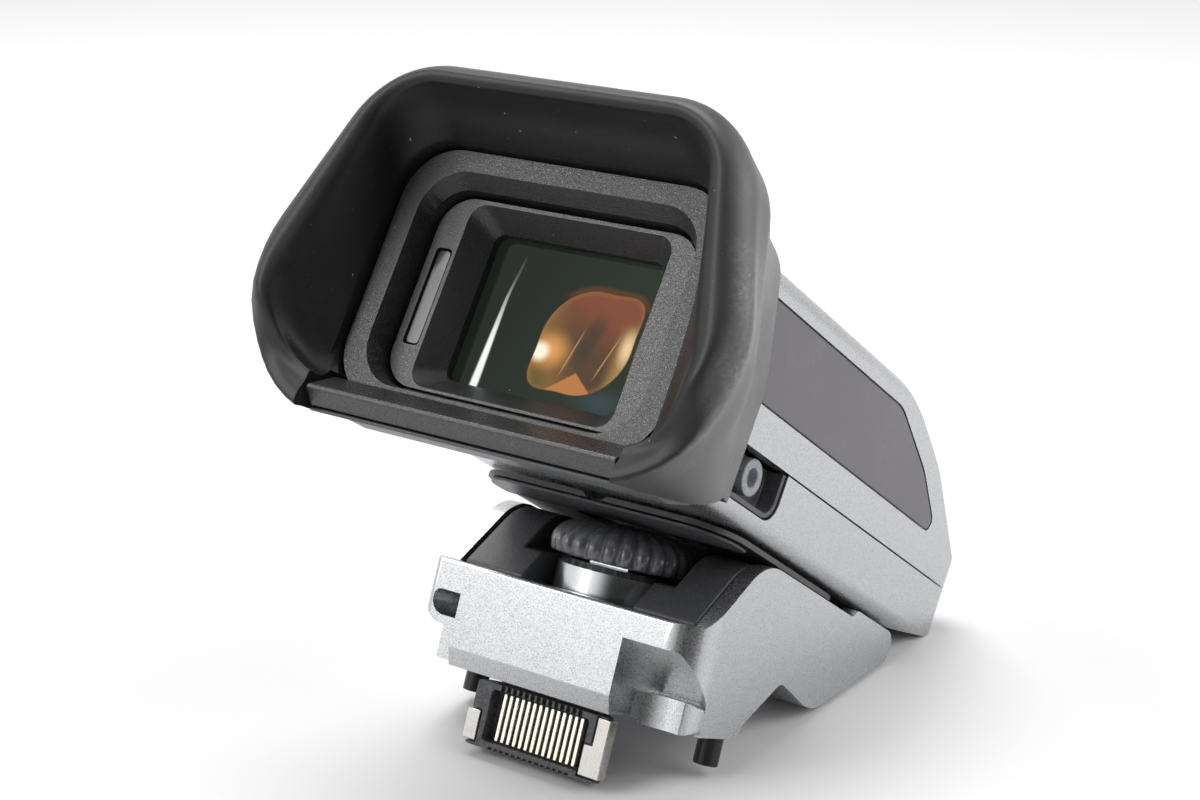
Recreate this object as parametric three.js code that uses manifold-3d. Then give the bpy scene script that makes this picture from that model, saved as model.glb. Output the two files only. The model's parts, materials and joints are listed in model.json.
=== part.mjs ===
// Accessory electronic viewfinder: a tilting finder on a plug-in base. Millimetres, +Z up.
// The finder is built level about the tilt hinge's axis, and the base level from the plate's face
// and the plug's lower edge. Both are then pitched as the object lies at rest on a table.
import * as THREE from 'three';
import { mergeVertices } from 'three/addons/utils/BufferGeometryUtils.js';
import Module from 'manifold-3d';

const wasm = await Module();
wasm.setup();

// Overall sizes
const BODY_WIDTH = 26.8;
const BODY_HEIGHT = 20.15;
const BODY_FRONT = 9.2;
const BODY_REAR = 44.3;
const HINGE_DROP = 1.6;
const CLOSED_TILT = 11.65;
const FIT_GAP = 0.3;
const CLOSE_GAP = 0.15;
const OVERRUN = 1;

// Finder shells
const SHELL_WALL = 1.2;
const SEAM_HEIGHT = 6;
const BREAK_RUN = 21.2;
const KNEE_RUN = 9.7;
const KNEE_DROP = 5;
const BROW_DROP = 12.15;
const BREAK_RADIUS = 10;
const KNEE_RADIUS = 20;
const BROW_RADIUS = 1;
const CHIN_RUN = 8.6;
const CHIN_RISE = 1.4;
const CHIN_RADIUS = 2.8;
const CHIN_BREAK_RADIUS = 6;
const TOP_EDGE_RADIUS = 2.5;
const BOTTOM_EDGE_RADIUS = 1.6;
const NOSE_CORNER_RADIUS = 1.5;
const BOTTOM_PLATE_THICKNESS = 0.45;
const BOTTOM_PLATE_SETBACK = 12.4;
const BOTTOM_PLATE_FRONT = 8.3;
const BOTTOM_PLATE_SIDE = 0.7;
const PLATE_CORNER = 4;
const INFO_PLATE_THICKNESS = 0.2;
const INFO_PLATE_RUN = 5.5;
const INFO_PLATE_SIDE = 0.5;
const INFO_PLATE_CORNER = 0.5;
const SIDE_PANEL_THICKNESS = 0.3;
const SIDE_PANEL_BOTTOM = 9.45;
const SIDE_PANEL_BELOW_TOP = 2.75;
const SIDE_PANEL_SETBACK = 3.3;
const SIDE_PANEL_TIP = 1.6;
const SIDE_PANEL_TIP_RISE = 1.3;
const SIDE_PANEL_KNEE_RUN = 4.8;
const SIDE_PANEL_KNEE_RISE = 4.6;
const SIDE_PANEL_BREAK_RUN = 12.6;
const SIDE_PANEL_RADIUS = 0.9;

// Eyepiece, measured from the optical axis and from the black bezel's face
const OPTICAL_DROP = 0.525;
const BEZEL_SIDE_RISE = 1.8;
const BEZEL_TOP_RISE = 0.65;
const BEZEL_BOTTOM_RISE = 0.6;
const BEZEL_RADIUS = 4.6;
const BEZEL_THICKNESS = 5.3;
const BEZEL_SPIGOT = 2.2;
const MOUTH_SIDE = 2;
const MOUTH_TOP = 1.7;
const MOUTH_BOTTOM = 1.4;
const MOUTH_RADIUS = 3.8;
const MOUTH_DEPTH = 1.3;
const POCKET_SIDE = 2.5;
const POCKET_TOP = 2.75;
const POCKET_BOTTOM = 1.75;
const POCKET_RADIUS = 3.3;
const FRAME_SETBACK = 2.2;
const FRAME_DEPTH = 1.9;
const FRAME_TUBE_WALL = 0.5;
const RIDGE_SIDE = 3;
const RIDGE_FRAME = 0.6;
const RIDGE_RADIUS = 1.5;
const WINDOW_SIDE = 1.25;
const WINDOW_FRAME = 1.1;
const WINDOW_RADIUS = 0.9;
const SLOPE_DEPTH = 2.2;
const WINDOW_STEP = 0.8;
const WINDOW_THICKNESS = 0.5;
const WINDOW_MARGIN = 0.4;
const SENSOR_WIDTH = 1.3;
const SENSOR_HEIGHT = 8;
const SENSOR_SIDE = 1.85;
const SENSOR_DROP = 0.5;
const SENSOR_SETBACK = 0.15;
const SENSOR_THICKNESS = 0.5;
const SENSOR_BOARD_THICKNESS = 0.4;

// Rubber eyecup, and the hard bar that closes it below
const CUP_REACH = 6.2;
const CUP_DEPTH = 20.2;
const CUP_NOTCH = 1.4;
const CUP_LEAN = 5;
const CUP_LEAN_RISE = 11.6;
const CUP_RECEDE = 3;
const CUP_RECEDE_LOW = 1;
const CUP_RECEDE_HIGH = 7;
const BAR_SIDE = 0.5;
const BAR_REACH = 3.4;
const BAR_LENGTH = 11.9;
const BAR_HEIGHT = 3.1;
const BAR_DROP = 2;
const TRIM_THICKNESS = 0.45;

// Optics and electronics in the finder
const CARRIAGE_SIDE_ROOM = 2.8;
const CARRIAGE_TOP_ROOM = 1.475;
const CARRIAGE_WALL = 1.2;
const CARRIAGE_LENGTH = 13.4;
const CARRIAGE_PLAY = 1.5;
const CARRIAGE_RADIUS = 1;
const LUG_RADIUS = 1.3;
const LUG_LENGTH = 3;
const ROD_RADIUS = 0.6;
const ROD_SIDE_ROOM = 1.6;
const ROD_BELOW_TOP = 3.4;
const ROD_SEAT = 1.5;
const LENS_CURVE = 22;
const LENS_THICKNESS = 4.4;
const LENS_INSET = 0.4;
const HOLDER_LENGTH = 6;
const HOLDER_TO_HINGE = 10.9;
const HOLDER_TOP_ROOM = 0.975;
const DISPLAY_SIDE_ROOM = 5.6;
const DISPLAY_FRAME = 2.7;
const DISPLAY_THICKNESS = 1.6;
const DISPLAY_MASK = 1.2;
const BOARD_THICKNESS = 1;
const BOARD_SIDE_ROOM = 2.7;
const BOARD_FRAME = 1.7;
const CHIP_HALF = 3;
const CHIP_THICKNESS = 0.9;

// Dioptre adjuster in the right side
const DIOPTRE_FROM_REAR = 13.55;
const DIOPTRE_HEIGHT = 4.2;
const RECESS_REAR = 5;
const RECESS_FRONT = 4.5;
const RECESS_DEPTH = 2.3;
const RECESS_HEIGHT = 4.4;
const RECESS_RADIUS = 1.9;
const RECESS_WALL = 0.45;
const KNOB_RADIUS = 1.55;
const KNOB_HOLE_RADIUS = 0.8;
const KNOB_HOLE_DEPTH = 0.8;
const KNOB_SETBACK = 0.55;
const SPINDLE_RADIUS = 0.7;
const CRANK_RADIUS = 1.5;
const CRANK_THICKNESS = 0.45;
const CRANK_OFFSET = 1;
const CRANK_PIN_RADIUS = 0.35;
const FORK_THICKNESS = 0.6;
const FORK_REACH = 0.7;

// Base casting, from the front plate's face and the plug's lower edge
const HINGE_RUN = 32.1;
const HINGE_RISE = 14.8;
const FOOT_DROP = 1.65;
const TABLE_DROP = 2.08;
const SEAT_HEIGHT = 5.7;
const PLATE_TOP = 14.3;
const PLATE_BOTTOM = 7.2;
const PLATE_BEVEL = 0.6;
const PLATE_WALL = 1.2;
const CHEEK_WALL = 1.5;
const CASTING_WALL = 1.2;
const PLATE_RIGHT_RADIUS = 3.2;
const PLATE_LEFT_RADIUS = 0.8;
const HUMP_FROM = 1.4;
const HUMP_SLOPE = 43.5;
const HUMP_RADIUS = 5;
const STEP_FROM_HINGE = 6.8;
const STEP_RUN = 0.8;
const LEG_DEPTH = 9.3;
const LEG_HEEL = 0.5;
const LEG_HEEL_HEIGHT = 1.2;
const ARCH_RUN = 14.7;
const ARCH_HEIGHT = 10.6;
const ARCH_RADIUS = 1;
const ARCH_SLOPE = 19.8;
const HEEL_RADIUS = 5;
const NOSE_RADIUS = 0.7;
const EDGE_RADIUS = 0.3;
const FRONT_BLOCK_DEPTH = 4.6;
const UPPER_ROOM_DEPTH = 20;
const UPPER_ROOM_BOTTOM = 12.6;
const BAY_HALF = 5.8;
const SCOOP_DEPTH = 3.3;
const SCOOP_RIGHT_TOP = 12;
const SCOOP_LEFT_TOP = 11.7;
const SCOOP_RIGHT_FROM = 6.4;
const SCOOP_LEFT_FROM = 10;
const SCOOP_RIGHT_RADIUS = 1.8;
const SCOOP_LEFT_RADIUS = 0.7;
const HOOK_BOTTOM = 8.9;
const HOOK_RADIUS = 2;
const HOOK_WALL = 0.7;
const SCOOP_LIP = 0.3;
const TOE_WIDTH = 4.8;
const TOE_TOP = 8.3;
const TOE_SETBACK = 0.2;
const TOE_HOLLOW_RADIUS = 4.7;
const TOE_HOLLOW_RUN = 1.3;
const TOE_HOLLOW_SIDE = 1.8;
const TOE_RADIUS = 0.7;
const LINER_WALL = 0.7;
const LINER_FLOOR = 12.9;
const LINER_DROP = 0.15;
const LINER_POCKET_SIDE = 1.3;
const LINER_POCKET_BELOW = 0.5;
const LINER_FRONT = 1.8;
const LINER_REAR_FROM_HINGE = 8;

// Plug and locating pins
const PLUG_HALF = 6.5;
const PLUG_FACE = 0.4;
const PLUG_SIDE_DEPTH = 1.1;
const PLUG_THICKNESS = 2.6;
const PLUG_CORNER = 0.3;
const TONGUE_HALF = 5.2;
const TONGUE_THICKNESS = 1.2;
const TONGUE_TOP = 8.5;
const PLUG_MOUTH_HALF = 4.9;
const PLUG_MOUTH_BOTTOM = 0.6;
const PLUG_MOUTH_TOP = 4.9;
const PLUG_MOUTH_DEPTH = 1.2;
const CONTACT_COUNT = 14;
const CONTACT_PITCH = 0.6;
const CONTACT_WIDTH = 0.36;
const CONTACT_STAND = 0.45;
const COMB_DEPTH = 0.35;
const COMB_HEIGHT = 0.45;
const SHIELD_THICKNESS = 0.25;
const SHIELD_TOP = 2.9;
const SHIELD_BOTTOM = 0.4;
const SHIELD_TAB_RIGHT = 1.9;
const SHIELD_TAB_LEFT = 0.9;
const SHIELD_NECK = 0.8;
const PIN_RADIUS = 1.05;
const PIN_LENGTH = 2.5;
const PIN_RUN = 7.9;
const PIN_SIDE_MARGIN = 1.5;
const PIN_SEAT_DEPTH = 0.6;
const PLUG_BOARD_THICKNESS = 0.8;
const PLUG_BOARD_HEIGHT = 3.3;
const PLUG_BOARD_HALF = 5;

// Fastening wheel
const WHEEL_RUN = 7.6;
const WHEEL_RADIUS = 6.3;
const WHEEL_BOTTOM = 17.1;
const WHEEL_TOP = 20.3;
const WHEEL_RIM = 0.9;
const WHEEL_RIBS = 26;
const RIB_DEPTH = 0.28;
const COLLAR_RADIUS = 5.3;
const COLLAR_CHAMFER = 0.5;
const COLLAR_BOTTOM = 13.2;
const DRIVE_HALF = 1.9;
const DRIVE_HEIGHT = 1.3;
const STEM_RADIUS = 2.4;
const STEM_BOTTOM = 8;
const SCREW_RADIUS = 1.25;
const SCREW_KEY_HALF = 1.15;
const SCREW_KEY_HEIGHT = 2;
const SCREW_LENGTH = 5.2;
const SCREW_BOTTOM = 5.9;
const CLIP_THICKNESS = 0.4;
const CLIP_RADIUS = 5.9;
const CLIP_GROOVE = 0.5;
const CLIP_SLOT = 1.6;

// Tilt hinge
const SHAFT_RADIUS = 0.6;
const SHAFT_SEAT = 0.9;
const BARREL_RADIUS = 1.2;
const BRACKET_SIDE_GAP = 0.4;
const BRACKET_WIDTH = 5;
const KNUCKLE_END_GAP = 0.3;
const KNUCKLE_FLEX_GAP = 0.4;
const LEAF_THICKNESS = 0.8;
const LEAF_RUN = 6.5;
const NECK_HALF = 0.9;
const FLEX_WIDTH = 2.7;
const FLEX_END_GAP = 0.6;
const FLEX_THICKNESS = 0.25;
const BRACKET_RUN = 8;
const BRACKET_THICKNESS = 0.7;
const FASTENER_RADIUS = 0.5;
const FASTENER_HEAD_RADIUS = 1;
const FASTENER_HEAD_HEIGHT = 0.5;
const FASTENER_DRIVE = 0.25;

// Sizes worked out from the ones above
const tilt = THREE.MathUtils.degToRad(CLOSED_TILT);
const bodyHalf = BODY_WIDTH / 2;
const castingInner = bodyHalf - CHEEK_WALL;
const opticalHeight = BODY_HEIGHT / 2 - OPTICAL_DROP;
const carriageHalf = bodyHalf - SHELL_WALL - CARRIAGE_SIDE_ROOM;
const carriageHalfHeight = BODY_HEIGHT / 2 - SHELL_WALL - CARRIAGE_TOP_ROOM;
const rodHalfSpacing = bodyHalf - SHELL_WALL - ROD_SIDE_ROOM;
const rodRaise = carriageHalfHeight - ROD_BELOW_TOP;
const holderHalfHeight = BODY_HEIGHT / 2 - SHELL_WALL - HOLDER_TOP_ROOM;
const displayHalfHeight = holderHalfHeight - DISPLAY_FRAME;
const boardHalfHeight = holderHalfHeight - BOARD_FRAME;
const displayHalf = bodyHalf - SHELL_WALL - DISPLAY_SIDE_ROOM;
const boardHalf = bodyHalf - SHELL_WALL - BOARD_SIDE_ROOM;
const bezelHalf = bodyHalf + BEZEL_SIDE_RISE;
const bezelAbove = BODY_HEIGHT - opticalHeight + BEZEL_TOP_RISE;
const bezelBelow = opticalHeight + BEZEL_BOTTOM_RISE;
const mouthHalf = bezelHalf - MOUTH_SIDE;
const mouthAbove = bezelAbove - MOUTH_TOP;
const mouthBelow = bezelBelow - MOUTH_BOTTOM;
const pocketHalf = bezelHalf - POCKET_SIDE;
const pocketAbove = bezelAbove - POCKET_TOP;
const pocketBelow = bezelBelow - POCKET_BOTTOM;
const ridgeHalf = pocketHalf - RIDGE_SIDE;
const ridgeHalfHeight = pocketBelow - RIDGE_FRAME;
const windowHalf = carriageHalf - WINDOW_SIDE;
const windowHalfHeight = carriageHalfHeight - WINDOW_FRAME;
const sensorCentre = pocketHalf - SENSOR_SIDE;
const barHalf = bezelHalf - BAR_SIDE;
const sidePanelRear = BODY_REAR - SIDE_PANEL_SETBACK;
const sidePanelTop = BODY_HEIGHT - SIDE_PANEL_BELOW_TOP;
const bottomPlateRear = BODY_REAR - BOTTOM_PLATE_SETBACK;
const bottomPlateHalf = bodyHalf - BOTTOM_PLATE_SIDE;
const infoPlateHalf = bottomPlateHalf - INFO_PLATE_SIDE;
const infoPlateFront = bottomPlateRear - INFO_PLATE_RUN;
const bracketOuter = castingInner - BRACKET_SIDE_GAP;
const bracketInner = bracketOuter - BRACKET_WIDTH;
const knuckleLeft = bracketInner - KNUCKLE_END_GAP;
const flexRight = bracketInner - FLEX_END_GAP;
const flexLeft = flexRight - FLEX_WIDTH;
const knuckleRight = flexLeft - KNUCKLE_FLEX_GAP;
const pinHalfSpacing = bodyHalf - PIN_SIDE_MARGIN;
const bodyBottom = HINGE_DROP;
const bodyTop = bodyBottom + BODY_HEIGHT;
const seamLevel = bodyBottom + SEAM_HEIGHT;
const opticalLevel = bodyBottom + opticalHeight;
const bezelRear = -(BODY_REAR + FIT_GAP);
const bezelFace = bezelRear - BEZEL_THICKNESS;
const bezelBottom = opticalLevel - bezelBelow;
const bezelTop = opticalLevel + bezelAbove;
const spigotEnd = bezelRear + BEZEL_SPIGOT;
const frameFace = bezelFace + FRAME_SETBACK;
const frameRear = frameFace + FRAME_DEPTH;
const pocketFloor = frameRear + FIT_GAP;
const windowSeat = frameFace + SLOPE_DEPTH + WINDOW_STEP;
const windowFace = windowSeat + CLOSE_GAP;
const tubeRear = windowFace + WINDOW_THICKNESS + CLOSE_GAP;
const tubeMargin = WINDOW_MARGIN + CLOSE_GAP + FRAME_TUBE_WALL;
const tubeHalf = windowHalf + tubeMargin;
const tubeHalfHeight = windowHalfHeight + tubeMargin;
const plateTop = bodyBottom - FIT_GAP;
const plateBottom = plateTop - BOTTOM_PLATE_THICKNESS;
const cupFront = bezelFace - CUP_REACH;
const cupRear = cupFront + CUP_DEPTH;
const knobY = -BODY_REAR + DIOPTRE_FROM_REAR;
const knobZ = bodyBottom + DIOPTRE_HEIGHT;
const carriageRear = spigotEnd + CARRIAGE_PLAY;
const carriageFront = carriageRear + CARRIAGE_LENGTH;
const holderFront = -HOLDER_TO_HINGE;
const holderRear = holderFront - HOLDER_LENGTH;
const rodLevel = opticalLevel + rodRaise;
const plugRear = PLUG_FACE + PLUG_THICKNESS;
const plugTop = SEAT_HEIGHT - FIT_GAP;
const hingeSpan = Math.hypot(HINGE_RUN - plugRear, HINGE_RISE);
const pitch = Math.atan2(HINGE_RISE, HINGE_RUN - plugRear) - Math.asin(TABLE_DROP / hingeSpan);

const colours = {
  metal: [0x8b8d90, 0.42, 0.7],
  panel: [0x4f4d52, 0.45, 0.1],
  black: [0x1b1c1e, 0.6, 0],
  rubber: [0x1e2021, 0.85, 0],
  glass: [0x1d2a1e, 0.05, 0],
  lens: [0xc9d4d0, 0.05, 0],
  steel: [0xb6b2aa, 0.25, 1],
  gold: [0xd9b45a, 0.25, 1],
  board: [0x1f5a35, 0.6, 0],
  flex: [0xb86a1e, 0.55, 0],
};

const finder = new THREE.Group();
const base = new THREE.Group();

// Turns a closed geometry into a solid
function solid(geometry) {
  const bare = geometry.clone();
  bare.deleteAttribute('normal');
  bare.deleteAttribute('uv');
  const merged = mergeVertices(bare);
  return new wasm.Manifold(new wasm.Mesh({
    numProp: 3,
    vertProperties: new Float32Array(merged.attributes.position.array),
    triVerts: new Uint32Array(merged.index.array),
  }));
}

// Turns a solid back into a named mesh of a group
function addPart(group, name, body, colour) {
  const mesh = body.getMesh();
  const geometry = new THREE.BufferGeometry();
  geometry.setAttribute('position', new THREE.BufferAttribute(new Float32Array(mesh.vertProperties), 3));
  geometry.setIndex(new THREE.BufferAttribute(new Uint32Array(mesh.triVerts), 1));
  geometry.computeVertexNormals();
  const [color, roughness, metalness] = colours[colour];
  const part = new THREE.Mesh(geometry, new THREE.MeshStandardMaterial({ color, roughness, metalness }));
  part.name = name;
  group.add(part);
}

// Moves each edge of an outline inwards, with the radii at its corners to match
function insetOutline(corners, inset) {
  const count = corners.length;
  return corners.map(([x, y, radius], i) => {
    const before = corners[(i + count - 1) % count];
    const after = corners[(i + 1) % count];
    const into = new THREE.Vector2(x - before[0], y - before[1]).normalize();
    const out = new THREE.Vector2(after[0] - x, after[1] - y).normalize();
    const share = inset / (1 + into.dot(out));
    const bend = into.cross(out) > 0 ? -inset : inset;
    return [x - (into.y + out.y) * share, y + (into.x + out.x) * share, Math.max(radius + bend, 0)];
  });
}

// A closed outline from corners given as [x, y, radius]
function outline(corners) {
  const shape = new THREE.Shape();
  const count = corners.length;
  corners.forEach(([x, y, radius], i) => {
    const corner = new THREE.Vector2(x, y);
    const toBefore = new THREE.Vector2(...corners[(i + count - 1) % count]).sub(corner).normalize();
    const toAfter = new THREE.Vector2(...corners[(i + 1) % count]).sub(corner).normalize();
    const half = Math.acos(THREE.MathUtils.clamp(toBefore.dot(toAfter), -1, 1)) / 2;
    const reach = radius / Math.tan(half);
    const start = toBefore.clone().multiplyScalar(reach).add(corner);
    if (i === 0) {
      shape.moveTo(start.x, start.y);
    } else {
      shape.lineTo(start.x, start.y);
    }
    if (radius > 0) {
      const end = toAfter.clone().multiplyScalar(reach).add(corner);
      const middle = toBefore.clone().add(toAfter).normalize();
      const centre = middle.multiplyScalar(radius / Math.sin(half)).add(corner);
      const from = Math.atan2(start.y - centre.y, start.x - centre.x);
      const to = Math.atan2(end.y - centre.y, end.x - centre.x);
      shape.absarc(centre.x, centre.y, radius, from, to, toBefore.cross(toAfter) > 0);
    }
  });
  shape.closePath();
  return shape;
}

function rectangle(x0, y0, x1, y1, radius = 0) {
  return outline([[x0, y0, radius], [x1, y0, radius], [x1, y1, radius], [x0, y1, radius]]);
}

// Carries an outline along its own normal, then turns it onto the axes given
function carry(shape, depth, axes, start, curveSegments) {
  const geometry = new THREE.ExtrudeGeometry(shape, { depth, bevelEnabled: false, curveSegments });
  geometry.applyMatrix4(new THREE.Matrix4().makeBasis(...axes).setPosition(...start));
  return solid(geometry);
}

const unitX = new THREE.Vector3(1, 0, 0);
const unitY = new THREE.Vector3(0, 1, 0);
const unitZ = new THREE.Vector3(0, 0, 1);
const minusY = unitY.clone().negate();

// An outline in (y, z), carried from x0 to x1
function acrossX(shape, x0, x1, curveSegments = 5) {
  return carry(shape, x1 - x0, [unitY, unitZ, unitX], [x0, 0, 0], curveSegments);
}

// An outline in (x, z), carried from y0 to y1
function acrossY(shape, y0, y1, curveSegments = 5) {
  return carry(shape, y1 - y0, [unitX, unitZ, minusY], [0, y1, 0], curveSegments);
}

// An outline in (x, y), carried from z0 to z1
function acrossZ(shape, z0, z1, curveSegments = 5) {
  return carry(shape, z1 - z0, [unitX, unitY, unitZ], [0, 0, z0], curveSegments);
}

function block(x0, y0, z0, x1, y1, z1) {
  const geometry = new THREE.BoxGeometry(x1 - x0, y1 - y0, z1 - z0);
  geometry.translate((x0 + x1) / 2, (y0 + y1) / 2, (z0 + z1) / 2);
  return solid(geometry);
}

function barX(radius, x0, x1, y, z, sides = 20) {
  const geometry = new THREE.CylinderGeometry(radius, radius, x1 - x0, sides);
  geometry.rotateZ(-Math.PI / 2);
  geometry.translate((x0 + x1) / 2, y, z);
  return solid(geometry);
}

function barY(radius, y0, y1, x, z, sides = 12) {
  const geometry = new THREE.CylinderGeometry(radius, radius, y1 - y0, sides);
  geometry.translate(x, (y0 + y1) / 2, z);
  return solid(geometry);
}

function barZ(radius, z0, z1, x, y, sides = 24) {
  const geometry = new THREE.CylinderGeometry(radius, radius, z1 - z0, sides);
  geometry.rotateX(Math.PI / 2);
  geometry.translate(x, y, (z0 + z1) / 2);
  return solid(geometry);
}

function union(...bodies) {
  return bodies.reduce((sum, body) => sum.add(body));
}

function without(body, ...tools) {
  return tools.reduce((rest, tool) => rest.subtract(tool), body);
}

// A cross-head screw along z, from its tip up to its seat and head
function fastener(x, y, tip, seat) {
  const shank = barZ(FASTENER_RADIUS, tip, seat + FASTENER_HEAD_HEIGHT / 2, x, y, 10);
  const head = barZ(FASTENER_HEAD_RADIUS, seat, seat + FASTENER_HEAD_HEIGHT, x, y, 14);
  const top = seat + FASTENER_HEAD_HEIGHT;
  const wide = FASTENER_HEAD_RADIUS / 2;
  const thin = wide / 3;
  const slot = block(x - wide, y - thin, top - FASTENER_DRIVE, x + wide, y + thin, top + OVERRUN);
  const crossSlot = block(x - thin, y - wide, top - FASTENER_DRIVE, x + thin, y + wide, top + OVERRUN);
  return without(union(shank, head), slot, crossSlot);
}

// Skins a closed body through rings of equal point counts that follow each other towards -y
function skinRings(rings, closed) {
  const count = rings[0].length;
  const positions = [];
  rings.forEach((ring) => ring.forEach((point) => positions.push(point.x, point.y, point.z)));
  const faces = [];
  const last = closed ? rings.length : rings.length - 1;
  for (let i = 0; i < last; i += 1) {
    const next = (i + 1) % rings.length;
    for (let j = 0; j < count; j += 1) {
      const a = i * count + j;
      const b = i * count + (j + 1) % count;
      const c = next * count + (j + 1) % count;
      const d = next * count + j;
      faces.push(a, b, c, a, c, d);
    }
  }
  if (!closed) {
    const end = (rings.length - 1) * count;
    for (let j = 1; j < count - 1; j += 1) {
      faces.push(0, j + 1, j);
      faces.push(end, end + j, end + j + 1);
    }
  }
  const geometry = new THREE.BufferGeometry();
  geometry.setAttribute('position', new THREE.Float32BufferAttribute(positions, 3));
  geometry.setIndex(faces);
  return solid(geometry);
}

// One ring in the plane y: a trapezoid with round corners, walked from its lower right corner
const RING_ARC_STEPS = 7;
function ring(y, topHalf, bottomHalf, top, bottom, topRadius, bottomRadius) {
  const corners = [
    [bottomHalf, bottom, bottomRadius], [topHalf, top, topRadius],
    [-topHalf, top, topRadius], [-bottomHalf, bottom, bottomRadius],
  ];
  const points = [];
  corners.forEach(([x, z, radius], i) => {
    const corner = new THREE.Vector2(x, z);
    const toBefore = new THREE.Vector2(...corners[(i + 3) % 4]).sub(corner).normalize();
    const toAfter = new THREE.Vector2(...corners[(i + 1) % 4]).sub(corner).normalize();
    const half = Math.acos(toBefore.dot(toAfter)) / 2;
    const middle = toBefore.clone().add(toAfter).normalize();
    const centre = middle.multiplyScalar(radius / Math.sin(half)).add(corner);
    const start = toBefore.clone().multiplyScalar(radius / Math.tan(half)).add(corner).sub(centre);
    for (let k = 0; k <= RING_ARC_STEPS; k += 1) {
      const turn = (Math.PI - 2 * half) * (k / RING_ARC_STEPS);
      const spoke = start.clone().rotateAround(new THREE.Vector2(), turn).add(centre);
      points.push(new THREE.Vector3(spoke.x, y, spoke.y));
    }
  });
  return points;
}

// The finder body's outer form, or the same form moved inwards
const bodySide = [
  [-BODY_REAR, bodyBottom, 0],
  [BODY_FRONT - CHIN_RUN, bodyBottom, CHIN_BREAK_RADIUS],
  [BODY_FRONT, bodyBottom + CHIN_RISE, CHIN_RADIUS],
  [BODY_FRONT, bodyTop - BROW_DROP, BROW_RADIUS],
  [BODY_FRONT - KNEE_RUN, bodyTop - KNEE_DROP, KNEE_RADIUS],
  [BODY_FRONT - BREAK_RUN, bodyTop, BREAK_RADIUS],
  [-BODY_REAR, bodyTop, 0],
];
const bodyEnd = [
  [-bodyHalf, bodyBottom, BOTTOM_EDGE_RADIUS], [bodyHalf, bodyBottom, BOTTOM_EDGE_RADIUS],
  [bodyHalf, bodyTop, TOP_EDGE_RADIUS], [-bodyHalf, bodyTop, TOP_EDGE_RADIUS],
];
const bodyPlan = [
  [-bodyHalf, -BODY_REAR, 0], [bodyHalf, -BODY_REAR, 0],
  [bodyHalf, BODY_FRONT, NOSE_CORNER_RADIUS], [-bodyHalf, BODY_FRONT, NOSE_CORNER_RADIUS],
];

function bodyForm(inset, rearOverrun = 0) {
  const rear = -BODY_REAR - rearOverrun;
  const side = insetOutline(bodySide, inset);
  side[0][0] = rear;
  side[side.length - 1][0] = rear;
  const plan = insetOutline(bodyPlan, inset);
  plan[0][1] = rear;
  plan[1][1] = rear;
  return acrossX(outline(side), -bodyHalf, bodyHalf)
    .intersect(acrossY(outline(insetOutline(bodyEnd, inset)), rear, BODY_FRONT))
    .intersect(acrossZ(outline(plan), bodyBottom, bodyTop));
}

function aboveLevel(level) {
  const reach = BODY_REAR + BODY_FRONT;
  return block(-BODY_WIDTH, -reach, level, BODY_WIDTH, reach, level + BODY_HEIGHT);
}

// The bare inlaid panels follow the shell's sloping brow
function sidePanel(sign, gap, depth) {
  const low = bodyBottom + SIDE_PANEL_BOTTOM;
  const high = bodyBottom + sidePanelTop;
  const tip = SIDE_PANEL_TIP;
  const shape = outline(insetOutline([
    [-sidePanelRear, low, 0],
    [tip - SIDE_PANEL_RADIUS / 2, low, SIDE_PANEL_RADIUS],
    [tip, low + SIDE_PANEL_TIP_RISE, SIDE_PANEL_RADIUS],
    [tip - SIDE_PANEL_KNEE_RUN, low + SIDE_PANEL_KNEE_RISE, KNEE_RADIUS / 2],
    [tip - SIDE_PANEL_BREAK_RUN, high, BREAK_RADIUS / 2],
    [-sidePanelRear, high, 0],
  ], gap));
  const inner = bodyHalf - depth;
  return sign > 0 ? acrossX(shape, inner, bodyHalf) : acrossX(shape, -bodyHalf, -inner);
}

// Recess for the dioptre knob, cut in the lower shell's right side up to the seam
function recessForm(gap, x0, x1, top = seamLevel) {
  const low = seamLevel - RECESS_HEIGHT;
  return acrossX(outline(insetOutline([
    [knobY - RECESS_REAR, low, RECESS_RADIUS],
    [knobY + RECESS_FRONT, low, RECESS_RADIUS],
    [knobY + RECESS_FRONT, top, 0],
    [knobY - RECESS_REAR, top, 0],
  ], gap)), x0, x1);
}

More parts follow.
